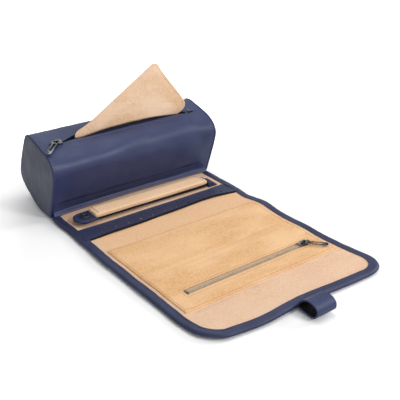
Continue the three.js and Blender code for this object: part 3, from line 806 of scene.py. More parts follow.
def push(shape, edges, direction, distance):
    count = max(1, round(distance / binding_step))
    for _ in range(count):
        edges = edges_in(bmesh.ops.extrude_edge_only(shape, edges=edges)["geom"])
        verts = {vert for edge in edges for vert in edge.verts}
        bmesh.ops.translate(shape, verts=list(verts), vec=Vector(direction) * distance / count)
    return edges


def turn_corner(shape, edges, side):
    centre = (side * (half_width - corner_radius), corner_y, 0)
    made = bmesh.ops.spin(
        shape, geom=edges, cent=centre, axis=(0, 0, 1), angle=math.pi / 2, steps=16
    )
    return edges_in(made["geom_last"])


def soften_binding(shape):
    for vert in shape.verts:
        x, y, z = vert.co
        edge_share = smooth_step(98, 106, abs(x)) if y > corner_y else 1.0
        vert.co = settle(x, y, z)
        if z > 3.65:
            vert.co.z += 0.28 * waver(x, y, 7, 5.0) + 0.35 * waver(x, y, 19, 8.0)
            over_strap = between(-y, 45, 49, 73, 77) * (1 - smooth_step(99.5, 103.5, abs(x)))
            vert.co.z += 1.1 * over_strap
        if 0.4 < z < 4.3:
            outwards = 1 if x > 0 else -1
            vert.co.x += 0.35 * edge_share * waver(x, y, 13, 1.7) * outwards


print("points in the binding's section:", len(binding_section))

# %% [markdown]
# The three parts between the bolster and the flap have a length of binding on each side, which
# starts and ends where the layers do. Both its ends are filled.

# %% Side bindings
for part in ("ring", "pocket", "zip"):
    facts = panel_parts[part]
    sections = [body for body in facts["bodies"] if body != "bolster"]
    for label, side in (("left", -1), ("right", 1)):
        shape = bmesh.new()
        rim = start_section(shape, side, facts["back"])
        push(shape, rim, (0, -1, 0), facts["back"] - facts["front"])
        close_ends(shape)
        soften_binding(shape)
        names = [body.replace("section", "binding") + "_" + label for body in sections]
        name = f"binding_{part}_{label}"
        binding = make_piece(name, shape, "navy_leather", stands_for=names, look=bound_leather)
        bend_piece(binding, part)
        print(name, len(binding.data.polygons), "faces")

# %% [markdown]
# The binding of the flap runs down the left side, round both front corners and up the right
# side without a seam, so it is one piece: pushed, turned, pushed, turned and pushed again.

# %% Front binding
straight = cut_front - corner_y
shape = bmesh.new()
rim = push(shape, start_section(shape, -1, cut_front), (0, -1, 0), straight)
rim = turn_corner(shape, rim, -1)
rim = push(shape, rim, (1, 0, 0), 2 * (half_width - corner_radius))
rim = turn_corner(shape, rim, 1)
push(shape, rim, (0, 1, 0), straight)
close_ends(shape)
soften_binding(shape)
flap_nodes = ["zip_binding_left", "zip_binding_right", "flap_binding"]
front_binding = make_piece("binding_flap", shape, "navy_leather", stands_for=flap_nodes, look=bound_leather)
bend_piece(front_binding, "flap")
print("front binding faces:", len(front_binding.data.polygons))

# %% [markdown]
# The foot band is where the leather of the bolster turns out to become the panel. It lies
# under the bolster as a thin tongue, climbs the foot of the bolster's front and flares out to
# the lining in a soft hollow with a few creases along it. Its section is one closed outline,
# carried along the roll as a grid.

# %% Foot band
foot_section = [
    (-5.6, 18.4), (-4.9, 16.4), (-4.1, 14.2), (-3.6, 12.2), (-3.5, 10.3), (-3.9, 8.6), (-4.7, 7.2),
    (-5.7, 6.0), (-6.8, 5.0), (-7.1, 4.3), (-6.4, 3.75), (-4.6, 3.7), (-2.4, 3.6), (-2.0, 2.2),
    (-2.0, 0.1), (26, 0.1), (26, 1.2), (1.0, 1.3), (-0.3, 3.2), (-1.9, 8.0), (-3.6, 13.0), (-5.2, 17.8),
]
seen_points = 12
foot_half = 105


def foot_hollow(x, z):
    return 1.9 * bump(z, 9.5, 4.6) * smooth_step(103, 84, abs(x))


def place_foot(i, x):
    i %= len(foot_section)
    y, z = foot_section[i]
    outer = 1.0 if i < seen_points else 0.0
    bow = 2.8 * (1 - (x / foot_half) ** 2)
    y += outer * (0.45 * waver(x, z * 2, 30, 4.0) + bow * smooth_step(12, 5, z))
    if outer or z > 4:
        y += foot_hollow(x, z)
    crease = math.sin(z * 1.3 + 1.2 * waver(x, 0, 40, 3.3)) * smooth_step(17, 13, z)
    y -= outer * 0.35 * crease * smooth_step(90, -60, x)
    z += outer * 0.25 * waver(x, y * 3, 22, 2.0)
    return Vector((x, y, z))


shape = make_grid(list(range(len(foot_section) + 1)), spread(-foot_half, foot_half, 3), place_foot)
weld(shape)
close_ends(shape)
foot = make_piece("foot_fold", shape, "navy_leather", body="bolster", stands_for=["foot_band"])
print("foot band faces:", len(foot.data.polygons))

# %% [markdown]
# The earring strip is a flat strap of navy leather with two rows of punched holes. It is sewn
# in at both ends, and its front edge is free, so it stands a little off the suede and waves.

# %% Earring strip
strap_half, strap_back, strap_front = 102.5, -48.3, -73.7
strap_thickness = 0.95
hole_pitch = 16
hole_rows = ((-67, 11), (-55, 10))
hole_places = [((i - (count - 1) / 2) * hole_pitch, y) for y, count in hole_rows for i in range(count)]


def strip_height(x, y):
    free = smooth_step(-52, -73, y)
    tucked = smooth_step(95.5, 99.5, abs(x))
    rise = 0.7 + 1.0 * (1 + waver(x, 0, 46, 9.0)) * (1 - smooth_step(70, 96, abs(x)))
    return 3.95 + free * rise - 0.35 * tucked


def place_strip(x, y, above=0.9):
    free = smooth_step(-54, -73, y)
    sway = 0.6 * waver(x, y, 60, 2.4) * (1 - smooth_step(80, 98, abs(x)))
    sway += free * bumps(x, ((2.6, 44, 36), (1.2, -20, 30), (-1.0, -66, 20), (-1.2, -36, 20)))
    sway += free * (1.2 * between(x, 20, 60, 85, 98) + 1 - smooth_step(66, 92, abs(x)))
    sway -= 0.8 * (1 - free) * (1 - smooth_step(70, 95, abs(x)))
    return settle(x, y + sway, strip_height(x, y) + above)


shape = make_grid(spread(-strap_half, strap_half, 2.5), spread(strap_back, strap_front, 1.6), place_strip)
thicken(shape, down(strap_thickness))
strip = make_piece(
    "earring_strap", shape, "navy_leather", "ring_section", ["earring_strip"], look=bound_leather
)
print("earring strap faces:", len(strip.data.polygons))

# %% [markdown]
# The holes are cut with a Boolean modifier once the strap has its thickness. One mesh holds all
# the punches, because a single Boolean is quicker than one for each hole.

# %% Holes of the earring strip
punch = bmesh.new()
for x, y in hole_places:
    place = Matrix.Translation((x, y, 5))
    bmesh.ops.create_cone(
        punch, cap_ends=True, segments=16, radius1=1.1, radius2=1.1, depth=6, matrix=place
    )
bmesh.ops.scale(punch, vec=(MM, MM, MM), verts=punch.verts)
puncher = bpy.data.objects.new("punch", bpy.data.meshes.new("punch"))
punch.to_mesh(puncher.data)
punch.free()
scene.collection.objects.link(puncher)
holes = strip.modifiers.new("holes", "BOOLEAN")
holes.operation = "DIFFERENCE"
holes.solver = "EXACT"
holes.object = puncher
apply_modifiers(strip)
bpy.data.objects.remove(puncher)
print("strap faces with its", len(hole_places), "holes:", len(strip.data.polygons))

# %% [markdown]
# The free front edge of the strap is turned under, and that roll is flat black painted shade:
# it stands for the shadow under the lifted edge, and shows as a dark line. It is a narrow
# closed section that follows the edge. In each hole the suede below shows as a small pale spot.

# %% Painted shade under the strap's edge and the spots in its holes
edge_section = [
    (-73.5, 0.95), (-74.1, 0.7), (-74.3, 0.1), (-74.2, -1.5), (-73.5, -2.1), (-72.4, -1.6), (-72.4, 0.2),
]


def place_edge(i, x):
    y, above = edge_section[i % len(edge_section)]
    return place_strip(x, y, above)


shape = make_grid(list(range(len(edge_section) + 1)), spread(-98, 98, 2.5), place_edge)
weld(shape)
close_ends(shape)
# The black roll under the strap's free edge is painted shade, for the shadow under the lifted edge.
make_piece("strap_painted_edge", shape, "navy_leather", "ring_section", ["earring_strip"], look=black_painted_shade)

shape = bmesh.new()
for x, y in hole_places:
    place = Matrix.Translation(place_strip(x, y, 0.08))
    bmesh.ops.create_cone(
        shape, cap_ends=True, segments=16, radius1=0.95, radius2=0.65, depth=0.9, matrix=place
    )
spots = make_piece("strap_hole_spots", shape, "pale_suede", "ring_section", ["ring_section_suede"])
print("faces of the spots:", len(spots.data.polygons))

# %% [markdown]
# The pocket is a second layer of warmer suede, sewn on along its four sides, with a slot for
# the zip. It crosses one fold, so it is made in two parts that meet where nothing bends. Its
# edges are turned under, so the rim is rounded down to the lining.

# %% Shape of the pocket patch
pocket_half, pocket_back, pocket_front = 95, -104.2, -235.8
slot_left, slot_right = -77, 84
slot_back, slot_front = pocket_zip_y + 4.5, pocket_zip_y - 4.5
patch_thickness = 0.75
rim_radius = 1.6


def pocket_height(x, y):
    rim = min(pocket_half - abs(x), pocket_back - y, y - pocket_front)
    roll = 1 - math.sqrt(max(0.0, 1 - (1 - min(max(rim, 0.0), rim_radius) / rim_radius) ** 2))
    in_slot = smooth_step(0, 2.5, min(x - slot_left, slot_right - x))
    mouth = 0.5 * in_slot * bump(y, pocket_zip_y, 8.5)
    crease = 1.0 * bump(y, -166 + 0.05 * x, 2.0) + 0.3 * bump(y, -174 + 0.04 * x, 2.2)
    crease *= smooth_step(-95, -55, x) * (1 - 0.3 * smooth_step(40, 92, x))
    puff = 0.28 * smooth_step(2, 12, rim) * (1 + waver(x, y, 28, 7.7))
    puff *= smooth_step(8, 22, abs(y - pocket_zip_y))
    return 4.75 - 0.9 * roll + mouth - crease + puff


def place_pocket(x, y, above=0.0):
    return settle(x, y, pocket_height(x, y) + above)


rim_steps = [0, 0.3, 0.8, 1.4, 2.2]
sides = {sign * (pocket_half - step) for sign in (-1, 1) for step in rim_steps}
patch_columns = sorted(sides | set(spread(-92, 92, 2.3)) | {slot_left, slot_right})
print("pocket patch columns:", len(patch_columns))

# %% [markdown]
# The back part runs from the rim to the cut, and the front part holds the slot of the zip: the
# faces inside the slot's outline are taken out before the grid gets its thickness, so that the
# slot has walls.

# %% Pocket patch
back_rows = [pocket_back - step for step in rim_steps] + spread(pocket_back - 4, cut_front, 2.0)
shape = make_grid(patch_columns, back_rows, place_pocket)
thicken(shape, down(patch_thickness))
back_nodes = ["pocket_upper_panel", "zip_pocket_panel"]
patch = make_piece("pocket_patch_back", shape, "tan_suede", stands_for=back_nodes)
bend_piece(patch, "zip")

front_rows = [cut_front, -203.8, slot_back + 0.6, slot_back, slot_front, slot_front - 0.6]
front_rows += [-217, -219.5, -222, -224.5] + spread(-227, pocket_front + 2.2, 2.0)
front_rows += [pocket_front + step for step in reversed(rim_steps[:-1])]
shape = make_grid(patch_columns, front_rows, place_pocket)


def over_slot(point):
    return slot_left < point.x < slot_right and slot_front < point.y < slot_back


inside = [face for face in shape.faces if over_slot(face.calc_center_median())]
bmesh.ops.delete(shape, geom=inside, context="FACES")
thicken(shape, down(patch_thickness))
patch = make_piece("pocket_patch_front", shape, "tan_suede", "zip_section", ["zip_pocket_panel"])
print("faces taken out for the slot:", len(inside))

# %% [markdown]
# The pocket's zip is a nylon coil. Two woven tapes lie in the slot, and each carries a row of
# small loops that hook into the other row. One loop is a short, slightly flat pin of eight
# faces, and it is repeated every 1.5 mm on both sides.

# %% Pocket zip tapes and coil
pocket_coil_pitch = 1.5
tape_thickness = 0.35
pin_sides = 6
pin_merge = 0.00001


def add_pin(shape, centre, along, width, height):
    along = Vector(along)
    turn = along.to_track_quat("X", "Z").to_matrix().to_4x4()
    size = Matrix.Diagonal((along.length, width, height, 1))
    place = Matrix.Translation(centre) @ turn @ size
    tilt = Matrix.Rotation(math.pi / 2, 4, "Y")
    bmesh.ops.create_cone(
        shape, cap_ends=True, segments=pin_sides, radius1=0.5, radius2=0.5, depth=1.0, matrix=place @ tilt
    )


def place_pocket_tape(side):
    return lambda x, share: Vector((x, pocket_zip_y + side * (0.15 + 5.2 * share), 3.95))


coil_places = spread(slot_left + 3, slot_right - 3, pocket_coil_pitch)
for label, side, ahead in (("front", -1, 0.0), ("back", 1, pocket_coil_pitch / 2)):
    shape = make_grid(spread(slot_left - 3, slot_right + 3, 3), spread(0, 1, 0.25), place_pocket_tape(side))
    thicken(shape, down(tape_thickness))
    make_piece(f"pocket_zip_tape_{label}", shape, "zip_tape", "zip_section", [f"pocket_tape_{label}"])
    shape = bmesh.new()
    for x in coil_places:
        add_pin(shape, (x + ahead, pocket_zip_y + side * 0.85, 4.5), (0.25, 2.0, 0.0), 0.85, 0.95)
    make_piece(
        f"pocket_zip_coil_{label}", shape, "zip_tape", "zip_section", [f"pocket_teeth_{label}"],
        merge=pin_merge, look=tan_coil,
    )
print("coil pins a side:", len(coil_places))

# %% [markdown]
# ## The bolster
# The bolster is a stuffed tube with a flat underside and a sloping top where its zip lies. The
# wall is a sheet of leather wrapped round that outline, from one lip of the zip round the
# back and the front to the other lip. So it starts as a plain grid whose first and last rows
# are the two lips, and each row is laid at its share of the way round. Past the ends of the
# zip the two lips meet, and the doubles are merged.

# %% Outline of the bolster and the way round it
bolster_deep, bolster_high, bolster_base = 87, 84.4, 2.0
flat_below = 2.1
section_shares = [
    (0.213, 0), (0.2, 0.012), (0.138, 0.19), (0.064, 0.41), (0.02, 0.56), (0, 0.67), (0.018, 0.745),
    (0.06, 0.805), (0.14, 0.865), (0.252, 0.9115), (0.505, 0.979), (0.6, 1), (0.67, 0.997), (0.72, 0.975),
    (0.76, 0.925), (0.85, 0.75), (0.935, 0.565), (0.975, 0.45), (0.99, 0.37), (0.972, 0.295),
    (0.905, 0.215), (0.745, 0.11), (0.60, 0.035), (0.48, 0),
]
section_points = [
    Vector(((depth - 0.2) * bolster_deep, bolster_base + height * bolster_high))
    for depth, height in section_shares
]


def rounded_loop(points, steps=14):
    made = []
    count = len(points)
    for i in range(count):
        before, here, after, beyond = (points[(i + k) % count] for k in (-1, 0, 1, 2))
        reach = (after - here).length
        leave = (after - before).normalized() * reach * 0.45
        arrive = (beyond - here).normalized() * reach * 0.45
        at_seam = i in (0, count - 2, count - 1)
        if at_seam and here.y < flat_below and after.y < flat_below:
            leave, arrive = (after - here) / 3, (after - here) / 3
        for k in range(steps):
            t = k / steps
            a, b, c, d = (1 - t) ** 3, 3 * t * (1 - t) ** 2, 3 * t * t * (1 - t), t ** 3
            made.append(here * a + (here + leave) * b + (after - arrive) * c + after * d)
    return made


outline = rounded_loop(section_points)
way = [0.0]
for a, b in zip(outline, outline[1:] + outline[:1]):
    way.append(way[-1] + (b - a).length)
girth = way[-1]
mouth_middle = Vector((17.0, 82.13))
mouth_way = way[min(range(len(outline)), key=lambda i: (outline[i] - mouth_middle).length)]


def around(distance, inset=0.0):
    distance %= girth
    i = min(bisect_right(way, distance) - 1, len(outline) - 1)
    a, b = outline[i], outline[(i + 1) % len(outline)]
    share = (distance - way[i]) / max(way[i + 1] - way[i], 1e-9)
    ahead = (outline[(i + 2) % len(outline)] - outline[i - 1]).normalized()
    inward = Vector((ahead.y, -ahead.x))
    return a.lerp(b, share) + inward * inset, -inward


print("girth of the bolster:", round(girth, 1), "mm")

# %% [markdown]
# The zip's line runs low on the slope at both ends, and between them the pouch that stands in
# the mouth pushes the lips apart. So one function gives the middle of the slit, one its half
# width, one the wider gap that the front lip leaves, and one the small rise of the lips.

# %% The slit of the mouth
def slit_drop(x):
    return 4.5 * (1 - smooth_step(-84, -60, x)) + 5.6 * smooth_step(70, 95, x)


def slit_half(x):
    opened = 1.4 + 2.9 * between(x, -82, -50, 66, 94)
    return opened * between(x, -97.5, -94, 94, 97.5)


def lip_gap(x):
    return 0.9 * between(x, -66, -14, 34, 84)


def lip_rise(x):
    return 1.0 * bump(x, 18, 46) * between(x, -84, -50, 66, 92)


print("widest slit:", round(2 * max(slit_half(x) for x in range(-95, 96, 5)), 1), "mm")

# %% [markdown]
# A stuffed wall is a little uneven, which slow noise gives. The larger bulges and hollows are
# those seen on the real bolster: a flatter front on the right, a hollow and a bulge below the
# mouth, a fuller edge on the left with a hollow above and below it, and a bulge behind the
# zip. A soft cap lets none of them rise more than 0.4 mm past the outline.

# %% Bulges and hollows of the wall
highest_swell, cap_sharpness = 0.4, 3


def wall_swell(x, from_back, from_front, at):
    right, left = smooth_step(-70, 20, x), smooth_step(10, -70, x)
    swell = 0.9 * waver(x * 1.2, at, 40, 1.3) + 0.35 * waver(x, at, 15, 4.9) - 0.55
    swell -= 0.5 * right * bump(from_front, 34, 20)
    swell += left * bumps(from_front, ((0.7, 38, 10), (-0.6, 18, 9)))
    swell -= 0.7 * smooth_step(60, -40, x) * bump(from_front, 56, 12)
    swell -= 0.9 * bump(math.hypot(x - 22, 0.8 * (from_front - 26)), 0, 12)
    swell += 0.6 * bump(math.hypot(x - 62, 0.8 * (from_front - 22)), 0, 14)
    swell += 1.3 * bump(from_back, 24, 12) * bump(x, -48, 34)
    swell += bumps(from_front, ((0.35, 1.6, 1.3), (-0.35, 3.6, 0.9)))
    below_cap = math.log(1 + math.exp(cap_sharpness * (highest_swell - swell))) / cap_sharpness
    return highest_swell - below_cap


print("highest swell:", highest_swell, "mm")

# %% [markdown]
# One function lays every row of the wall. It walks the outline from lip to lip, rounds the
# edge above the front where the real one is slack, adds the swell, and lifts the lips where
# the pouch pushes them apart. The foot's hollow is taken over, so that both leathers touch.

# %% Bolster wall
wall_left, wall_right = -105.3, 108.0
wall_thickness = 1.1
ridge = {"place": 38, "spread": 15, "reach": 11, "share": 0.65}


def wall_point(x, share, inset=0.0, more_gap=0.0):
    half = slit_half(x) + more_gap * between(x, -97, -92, 92, 97)
    start, length = mouth_way - slit_drop(x) + half, girth - 2 * half - lip_gap(x)
    from_back, from_front = share * length, (1 - share) * length
    at = start + from_back
    point, out = around(at, inset)
    held = smooth_step(105, 88, abs(x))
    if 8 < from_front < 70:
        nearby = (around(at - ridge["reach"], inset)[0] + around(at + ridge["reach"], inset)[0]) / 2
        slack = ridge["share"] * held * bump(from_front, ridge["place"], ridge["spread"])
        point = point.lerp(nearby, slack * smooth_step(-70, -5, x))
    above = smooth_step(3, 12, point.y)
    lift = lip_rise(x) * (bump(from_front, 0, 16) + 0.3 * bump(from_back, 0, 12))
    point = point + out * (wall_swell(x, from_back, from_front, at) * held * above) + Vector((0, lift))
    if from_front < 120:
        point.x += foot_hollow(x, point.y)
    return Vector((x, point.x, max(point.y, 1.9 + inset)))


slit_columns = {-97.5, -96.5, -95.5, -94.5, 94.5, 95.5, 96.5, 97.5}
wall_columns = sorted(set(spread(wall_left, wall_right, 2.7)) | slit_columns)
wall_rows = [0, 0.0022, 0.006] + spread(0.012, 0.978, 0.0115)
wall_rows += [1 - distance / girth for distance in (5.6, 4.8, 4.2, 3.6, 3.0, 2.4, 1.6, 0.8, 0)]
shape = make_grid(wall_columns, wall_rows, wall_point)
weld(shape)
wall = make_piece("bolster_wall", shape, "navy_leather", body="bolster", stands_for=["bolster_wrap"])
turn_outwards(wall, (0, -17, 58), (0, -1, 0))
give_wall(wall, wall_thickness, -1)
apply_modifiers(wall)
print("bolster wall faces:", len(wall.data.polygons))

# %% [markdown]
# Inside lies a lining of suede, a little way in from the leather and with a wider gap at the
# mouth. It follows the same function, so the two never cross.

# %% Lining of the bolster
lining_columns = sorted(set(spread(wall_left + 1.8, wall_right - 1.8, 3.5)) | {-97, -95.5, -94, 94, 95.5, 97})
lining_rows = [0, 0.006] + spread(0.02, 0.98, 0.02) + [0.994, 1]
lining_inset, lining_gap, lining_thickness = 1.5, 1.2, 0.7
shape = make_grid(
    lining_columns, lining_rows, lambda x, share: wall_point(x, share, lining_inset, lining_gap)
)
lining = make_piece("bolster_inner_lining", shape, "pale_suede", "bolster", ["bolster_lining"])
give_wall(lining, lining_thickness, 0)
apply_modifiers(lining)
print("bolster lining faces:", len(lining.data.polygons))

# %% [markdown]
# Each end of the bolster is closed by a disc of grey leather, lighter by painted sheen, inside
# a thin piping. The disc is the outline filled and inset ring by ring, and swells a little
# because the bolster is stuffed.

# %% End discs
disc_rings = ((0.8, 0.35), (2.2, 0.4), (5.0, 0.5), (8.0, 0.45), (10.0, 0.3))
disc_thickness = 1.5


def ring_points(inset, x, count=130):
    return [Vector((x, *around(girth * i / count, inset)[0])) for i in range(count)]


def end_disc(label, side, end_x):
    shape = bmesh.new()
    rim = [shape.verts.new(point) for point in ring_points(1.6, end_x + side * 0.6)]
    inner = [shape.faces.new(rim)]
    for thickness, depth in disc_rings:
        bmesh.ops.inset_region(shape, faces=inner, thickness=thickness, depth=0, use_even_offset=True)
        for vert in {vert for face in inner for vert in face.verts}:
            vert.co.x += side * depth
    for vert in shape.verts:
        vert.co.x += side * 0.25 * waver(vert.co.y, vert.co.z, 26, 3.0)
    thicken(shape, lambda co: Vector((co.x - side * disc_thickness, co.y, co.z)))
    return make_piece(f"end_disc_{label}", shape, "cap_leather", "bolster", [f"end_cap_{label}"])


print("rings of a disc:", len(disc_rings))

# %% [markdown]
# The piping is a cord under leather. A closed curve with a round bevel, along the same outline
# as the disc, gives its form, and is then turned into a plain mesh.

# %% Piping
piping_radius, piping_points = 1.45, 170


def end_piping(label, side, end_x):
    curve = bpy.data.curves.new("piping", "CURVE")
    curve.dimensions = "3D"
    curve.bevel_depth = piping_radius * MM
    curve.bevel_resolution = 4
    points = ring_points(0.9, end_x + side * 1.2, piping_points)
    spline = curve.splines.new("POLY")
    spline.points.add(len(points) - 1)
    for place, point in zip(spline.points, points):
        place.co = (point.x * MM, point.y * MM, max(point.z, 1.6) * MM, 1)
    spline.use_cyclic_u = True
    holder = bpy.data.objects.new("piping_curve", curve)
    scene.collection.objects.link(holder)
    bpy.context.view_layer.update()
    data = bpy.data.meshes.new_from_object(holder.evaluated_get(bpy.context.evaluated_depsgraph_get()))
    bpy.data.objects.remove(holder)
    for polygon in data.polygons:
        polygon.use_smooth = True
    piping = bpy.data.objects.new(f"piping_{label}", data)
    scene.collection.objects.link(piping)
    return dress(piping, "navy_leather", "bolster", [f"end_piping_{label}"])


for label, side, end_x in (("left", -1, wall_left), ("right", 1, wall_right)):
    disc = end_disc(label, side, end_x)
    piping = end_piping(label, side, end_x)
    print("end pieces:", disc.name, piping.name)

# %% [markdown]
# The open zip shows a row of coil loops on each lip, on a narrow dark tape. Both follow the
# lips, so they are placed from the same function as the wall. The front tape leans up against
# the pouch and shows as a dark band under it. Tape and coil are dark navy darkened nearly to
# black, which is partly their own colour and partly painted shade of the gap under the pouch.
# Between the slider and the left end the two rows are hooked together.

# %% Mouth tapes and coil
slope_angle = math.radians(14.5)
up_slope = Vector((0, math.cos(slope_angle), math.sin(slope_angle)))
into_mouth = Vector((0, math.sin(slope_angle), -math.cos(slope_angle)))
mouth_coil_pitch = 1.6


def lip_frame(x, side, into, depth):
    lip = wall_point(x, 1.0 if side == "front" else 0.0)
    toward = up_slope if side == "front" else -up_slope
    return lip + toward * into + into_mouth * depth


def tape_lean(x, side):
    return between(x, -66, -20, 30, 80) * (3.9 if side == "front" else 0.6)


def front_gap(x, side):
    return 0.8 * lip_gap(x) if side == "front" else 0.0


def place_tape(side):
    def place(x, share):
        wide = 2.4 + 0.8 * between(x, -80, -52, 78, 94) + front_gap(x, side)
        return lip_frame(x, side, -1.6 + wide * share, 1.5 - tape_lean(x, side) * share * share)

    return place


for side, ahead in (("front", 0.0), ("back", mouth_coil_pitch / 2)):
    shape = make_grid(spread(-95, 95, 3), spread(0, 1, 0.2), place_tape(side))
    thicken(shape, down(tape_thickness))
    make_piece(
        f"mouth_zip_tape_{side}", shape, "navy_leather", "bolster", [f"mouth_tape_{side}"], look=navy_coil_and_shade
    )
    shape = bmesh.new()
    for x in spread(-95 + ahead, 93 + ahead, mouth_coil_pitch):
        reach = min(1.6, slit_half(x) - 0.35) + front_gap(x, side)
        add_pin(shape, lip_frame(x, side, reach, 1.1 - tape_lean(x, side)), (0.25, 1.7, 0.45), 0.85, 0.9)
    coil = make_piece(
        f"mouth_zip_coil_{side}", shape, "zip_metal", "bolster",
        [f"mouth_teeth_{side}", f"throat_teeth_{side}"], merge=pin_merge, look=navy_coil_and_shade,
    )
    print(coil.name, len(coil.data.polygons), "faces")

# %% [markdown]
# ## The pouch
# A flat suede pouch stands in the mouth of the bolster, tilted to the right. It is two plies
# sewn together round the edge, so it is thickest in the middle and thin at the seam. A grid
# is squeezed to a rectangle with round corners, puffed, and turned in its own plane.

# %% Pouch
pouch_wide, pouch_high, pouch_corner = 130.0, 76.5, 8.0
pouch_centre = Vector((11.946, 17.0, 83.617))
pouch_turn = math.radians(32)
pouch_along = Vector((math.cos(pouch_turn), 0, math.sin(pouch_turn)))
pouch_up = Vector((-math.sin(pouch_turn), 0, math.cos(pouch_turn)))


def pouch_outline(u, v):
    wide, high, corner = pouch_wide / 2, pouch_high / 2, pouch_corner
    reach = max(abs(u), abs(v))
    if reach < 1e-6:
        return 0.0, 0.0
    x, y = u / reach * wide, v / reach * high
    over_x, over_y = abs(x) - (wide - corner), abs(y) - (high - corner)
    if over_x > 0 and over_y > 0:
        scale = corner / math.hypot(over_x, over_y)
        x = math.copysign(wide - corner + over_x * scale, x)
        y = math.copysign(high - corner + over_y * scale, y)
    right, top = x * reach / wide, y * reach / high
    out_right = 4.8 * smooth_step(0.55, 1.0, right) * smooth_step(-0.7, 0.85, -top)
    out_up = 3.0 * smooth_step(0.6, 1.0, -right) * smooth_step(0.3, 1.0, top)
    out_down = 0.5 * smooth_step(0.5, 1.0, right) * smooth_step(0.2, 1.0, -top)
    return x * reach + out_right, y * reach - out_down + out_up


def pouch_point(u, v, side):
    x, y = pouch_outline(u, v)
    rim = 1 - max(abs(u), abs(v))
    puff = 0.55 + 1.5 * smooth_step(0.03, 0.45, rim) * (0.75 + 0.5 * waver(x, y, 30, 6.2))
    seam = 0.45 * bump(rim, 0.052, 0.016)
    bent = 0.9 * waver(x, y, 48, 2.9) * smooth_step(0.0, 0.3, rim)
    depth = side * (puff - seam) * smooth_step(-0.004, 0.02, rim) + bent
    return pouch_centre + pouch_along * x + pouch_up * y + Vector((0, depth, 0))


def inner_side(side):
    middle = pouch_centre.y
    return lambda co: Vector((co.x, middle + side * 0.12 + (co.y - middle) * 0.45, co.z))


seam_shares = {0.9, 0.925, 0.945, 0.965, 0.985, 1.0}
shares = sorted(seam_shares | {-share for share in seam_shares} | set(spread(-0.88, 0.88, 0.03)))
for label, side in (("front", -1), ("back", 1)):
    shape = make_grid(shares, shares, lambda u, v: pouch_point(u, v, side))
    thicken(shape, inner_side(side))
    ply = make_piece(f"pouch_{label}", shape, "tan_suede", "pouch", [f"pouch_{label}_ply"], look=pouch_suede)
    print(ply.name, len(ply.data.polygons), "faces")

# %% [markdown]
# ## The ring bar
# Rings are threaded on a padded bar of suede. It is held by a small tab at its right end and
# closes with a snap on a leather tab at its left end. The pad is a grid rolled into a tube with
# the section of a soft rectangle, flat on top, with pinched ends that are filled.

# %% Pad of the ring bar
bar_left, bar_right, bar_y, bar_z = -74, 78, -34, 10.9
bar_half_deep, bar_half_high = 9.2, 2.8
squareness = 2 / 4.6
bar_tilt = 0.008


def bar_slant(x, share):
    return 4.6 * smooth_step(48, 78, x) * smooth_step(-0.2, 1.0, share)


def bar_point(x, angle, inset=0.0):
    end = smooth_step(0, 5, min(x - bar_left, bar_right - x) + 0.6)
    deep = (bar_half_deep - inset) * (0.97 + 0.03 * end)
    high = (bar_half_high - inset) * (0.78 + 0.22 * end)
    c, s = math.cos(angle), math.sin(angle)
    y = math.copysign(abs(c) ** squareness, c) * deep
    z = math.copysign(abs(s) ** squareness, s) * high
    swell = 0.35 * waver(x, angle * 6, 17, 5.5) + 0.25 * waver(x, angle * 3, 40, 2.2)
    seam = 0.35 * bump(angle, 2.55, 0.10) + 0.5 * bump(x, bar_left + 6.0, 0.8) * smooth_step(0.2, 0.9, s)
    scale = 1 + (swell * end - seam) / math.hypot(y, z)
    sag = 0.3 * math.sin(math.pi * (x - bar_left) / (bar_right - bar_left)) + bar_tilt * x
    return Vector((x - bar_slant(x, c), bar_y + y * scale, bar_z + z * scale + 0.15 - sag))


end_steps = [0, 0.4, 1.2]
stations = [bar_left + step for step in end_steps] + spread(bar_left + 2.6, bar_right - 2.6, 2.4)
stations += [bar_right - step for step in reversed(end_steps)]
last = len(stations) - 1
end_insets = {0: 1.2, 1: 0.35, last - 1: 0.35, last: 1.2}


def place_pad(i, angle):
    return bar_point(stations[i], angle, end_insets.get(i, 0.0))


shape = make_grid(list(range(len(stations))), spread(-math.pi, math.pi, 0.13), place_pad)
weld(shape)
close_ends(shape)
bar_nodes = ["ring_bar_cover", "ring_bar_core"]
bar = make_piece("ring_bar_pad", shape, "bar_padding", body="ring_bar", stands_for=bar_nodes)
print("ring bar faces:", len(bar.data.polygons))

# %% [markdown]
# The pad is sewn on a narrower strap of leather. Its top and sides are flat black painted
# shade, for the dark line of shadow under the pad. Only the faces of the strap that look down
# keep the plain leather.

# %% Strap under the pad
strap_reach = 8.6


def place_bar_strap(x, y):
    return Vector((x - bar_slant(x, y / strap_reach), bar_y + y, 8.7 - bar_tilt * x))


def bar_strap_under(co):
    return co - Vector((0, 0, 2.2 + 0.9 * smooth_step(-20, 60, co.x)))


shape = make_grid(
    spread(bar_left - 2, bar_right - 0.6, 2.5), spread(-strap_reach, strap_reach, 0.86), place_bar_strap
)
thicken(shape, bar_strap_under)
# Painted shade: the strap's top and sides are flat black, for the shadow under the pad.
strap = make_piece("ring_bar_strap", shape, "navy_leather", "ring_bar", ["ring_bar_core"], look=black_painted_shade)
strap.data.materials.append(bound_leather)
for face in strap.data.polygons:
    face.material_index = 1 if face.normal.z < -0.5 else 0
print("bar strap faces:", len(strap.data.polygons))

# %% [markdown]
# The snap tab and the anchor tab are straps of navy leather. Each is a grid with its own
# outline, given a thickness, with the rim rolled down. The snap tab's end is round about the
# snap, so its columns are narrow where the outline turns.

# %% Snap tab
rim_shares = {0.82, 0.88, 0.93, 0.97, 1.0}
tab_shares = sorted(rim_shares | {-share for share in rim_shares} | set(spread(-0.75, 0.75, 0.1)))


def roll_down(rim):
    return 0.45 * (1 - smooth_step(0, 1.3, rim)) + 0.25 * bump(rim, 1.9, 0.4)


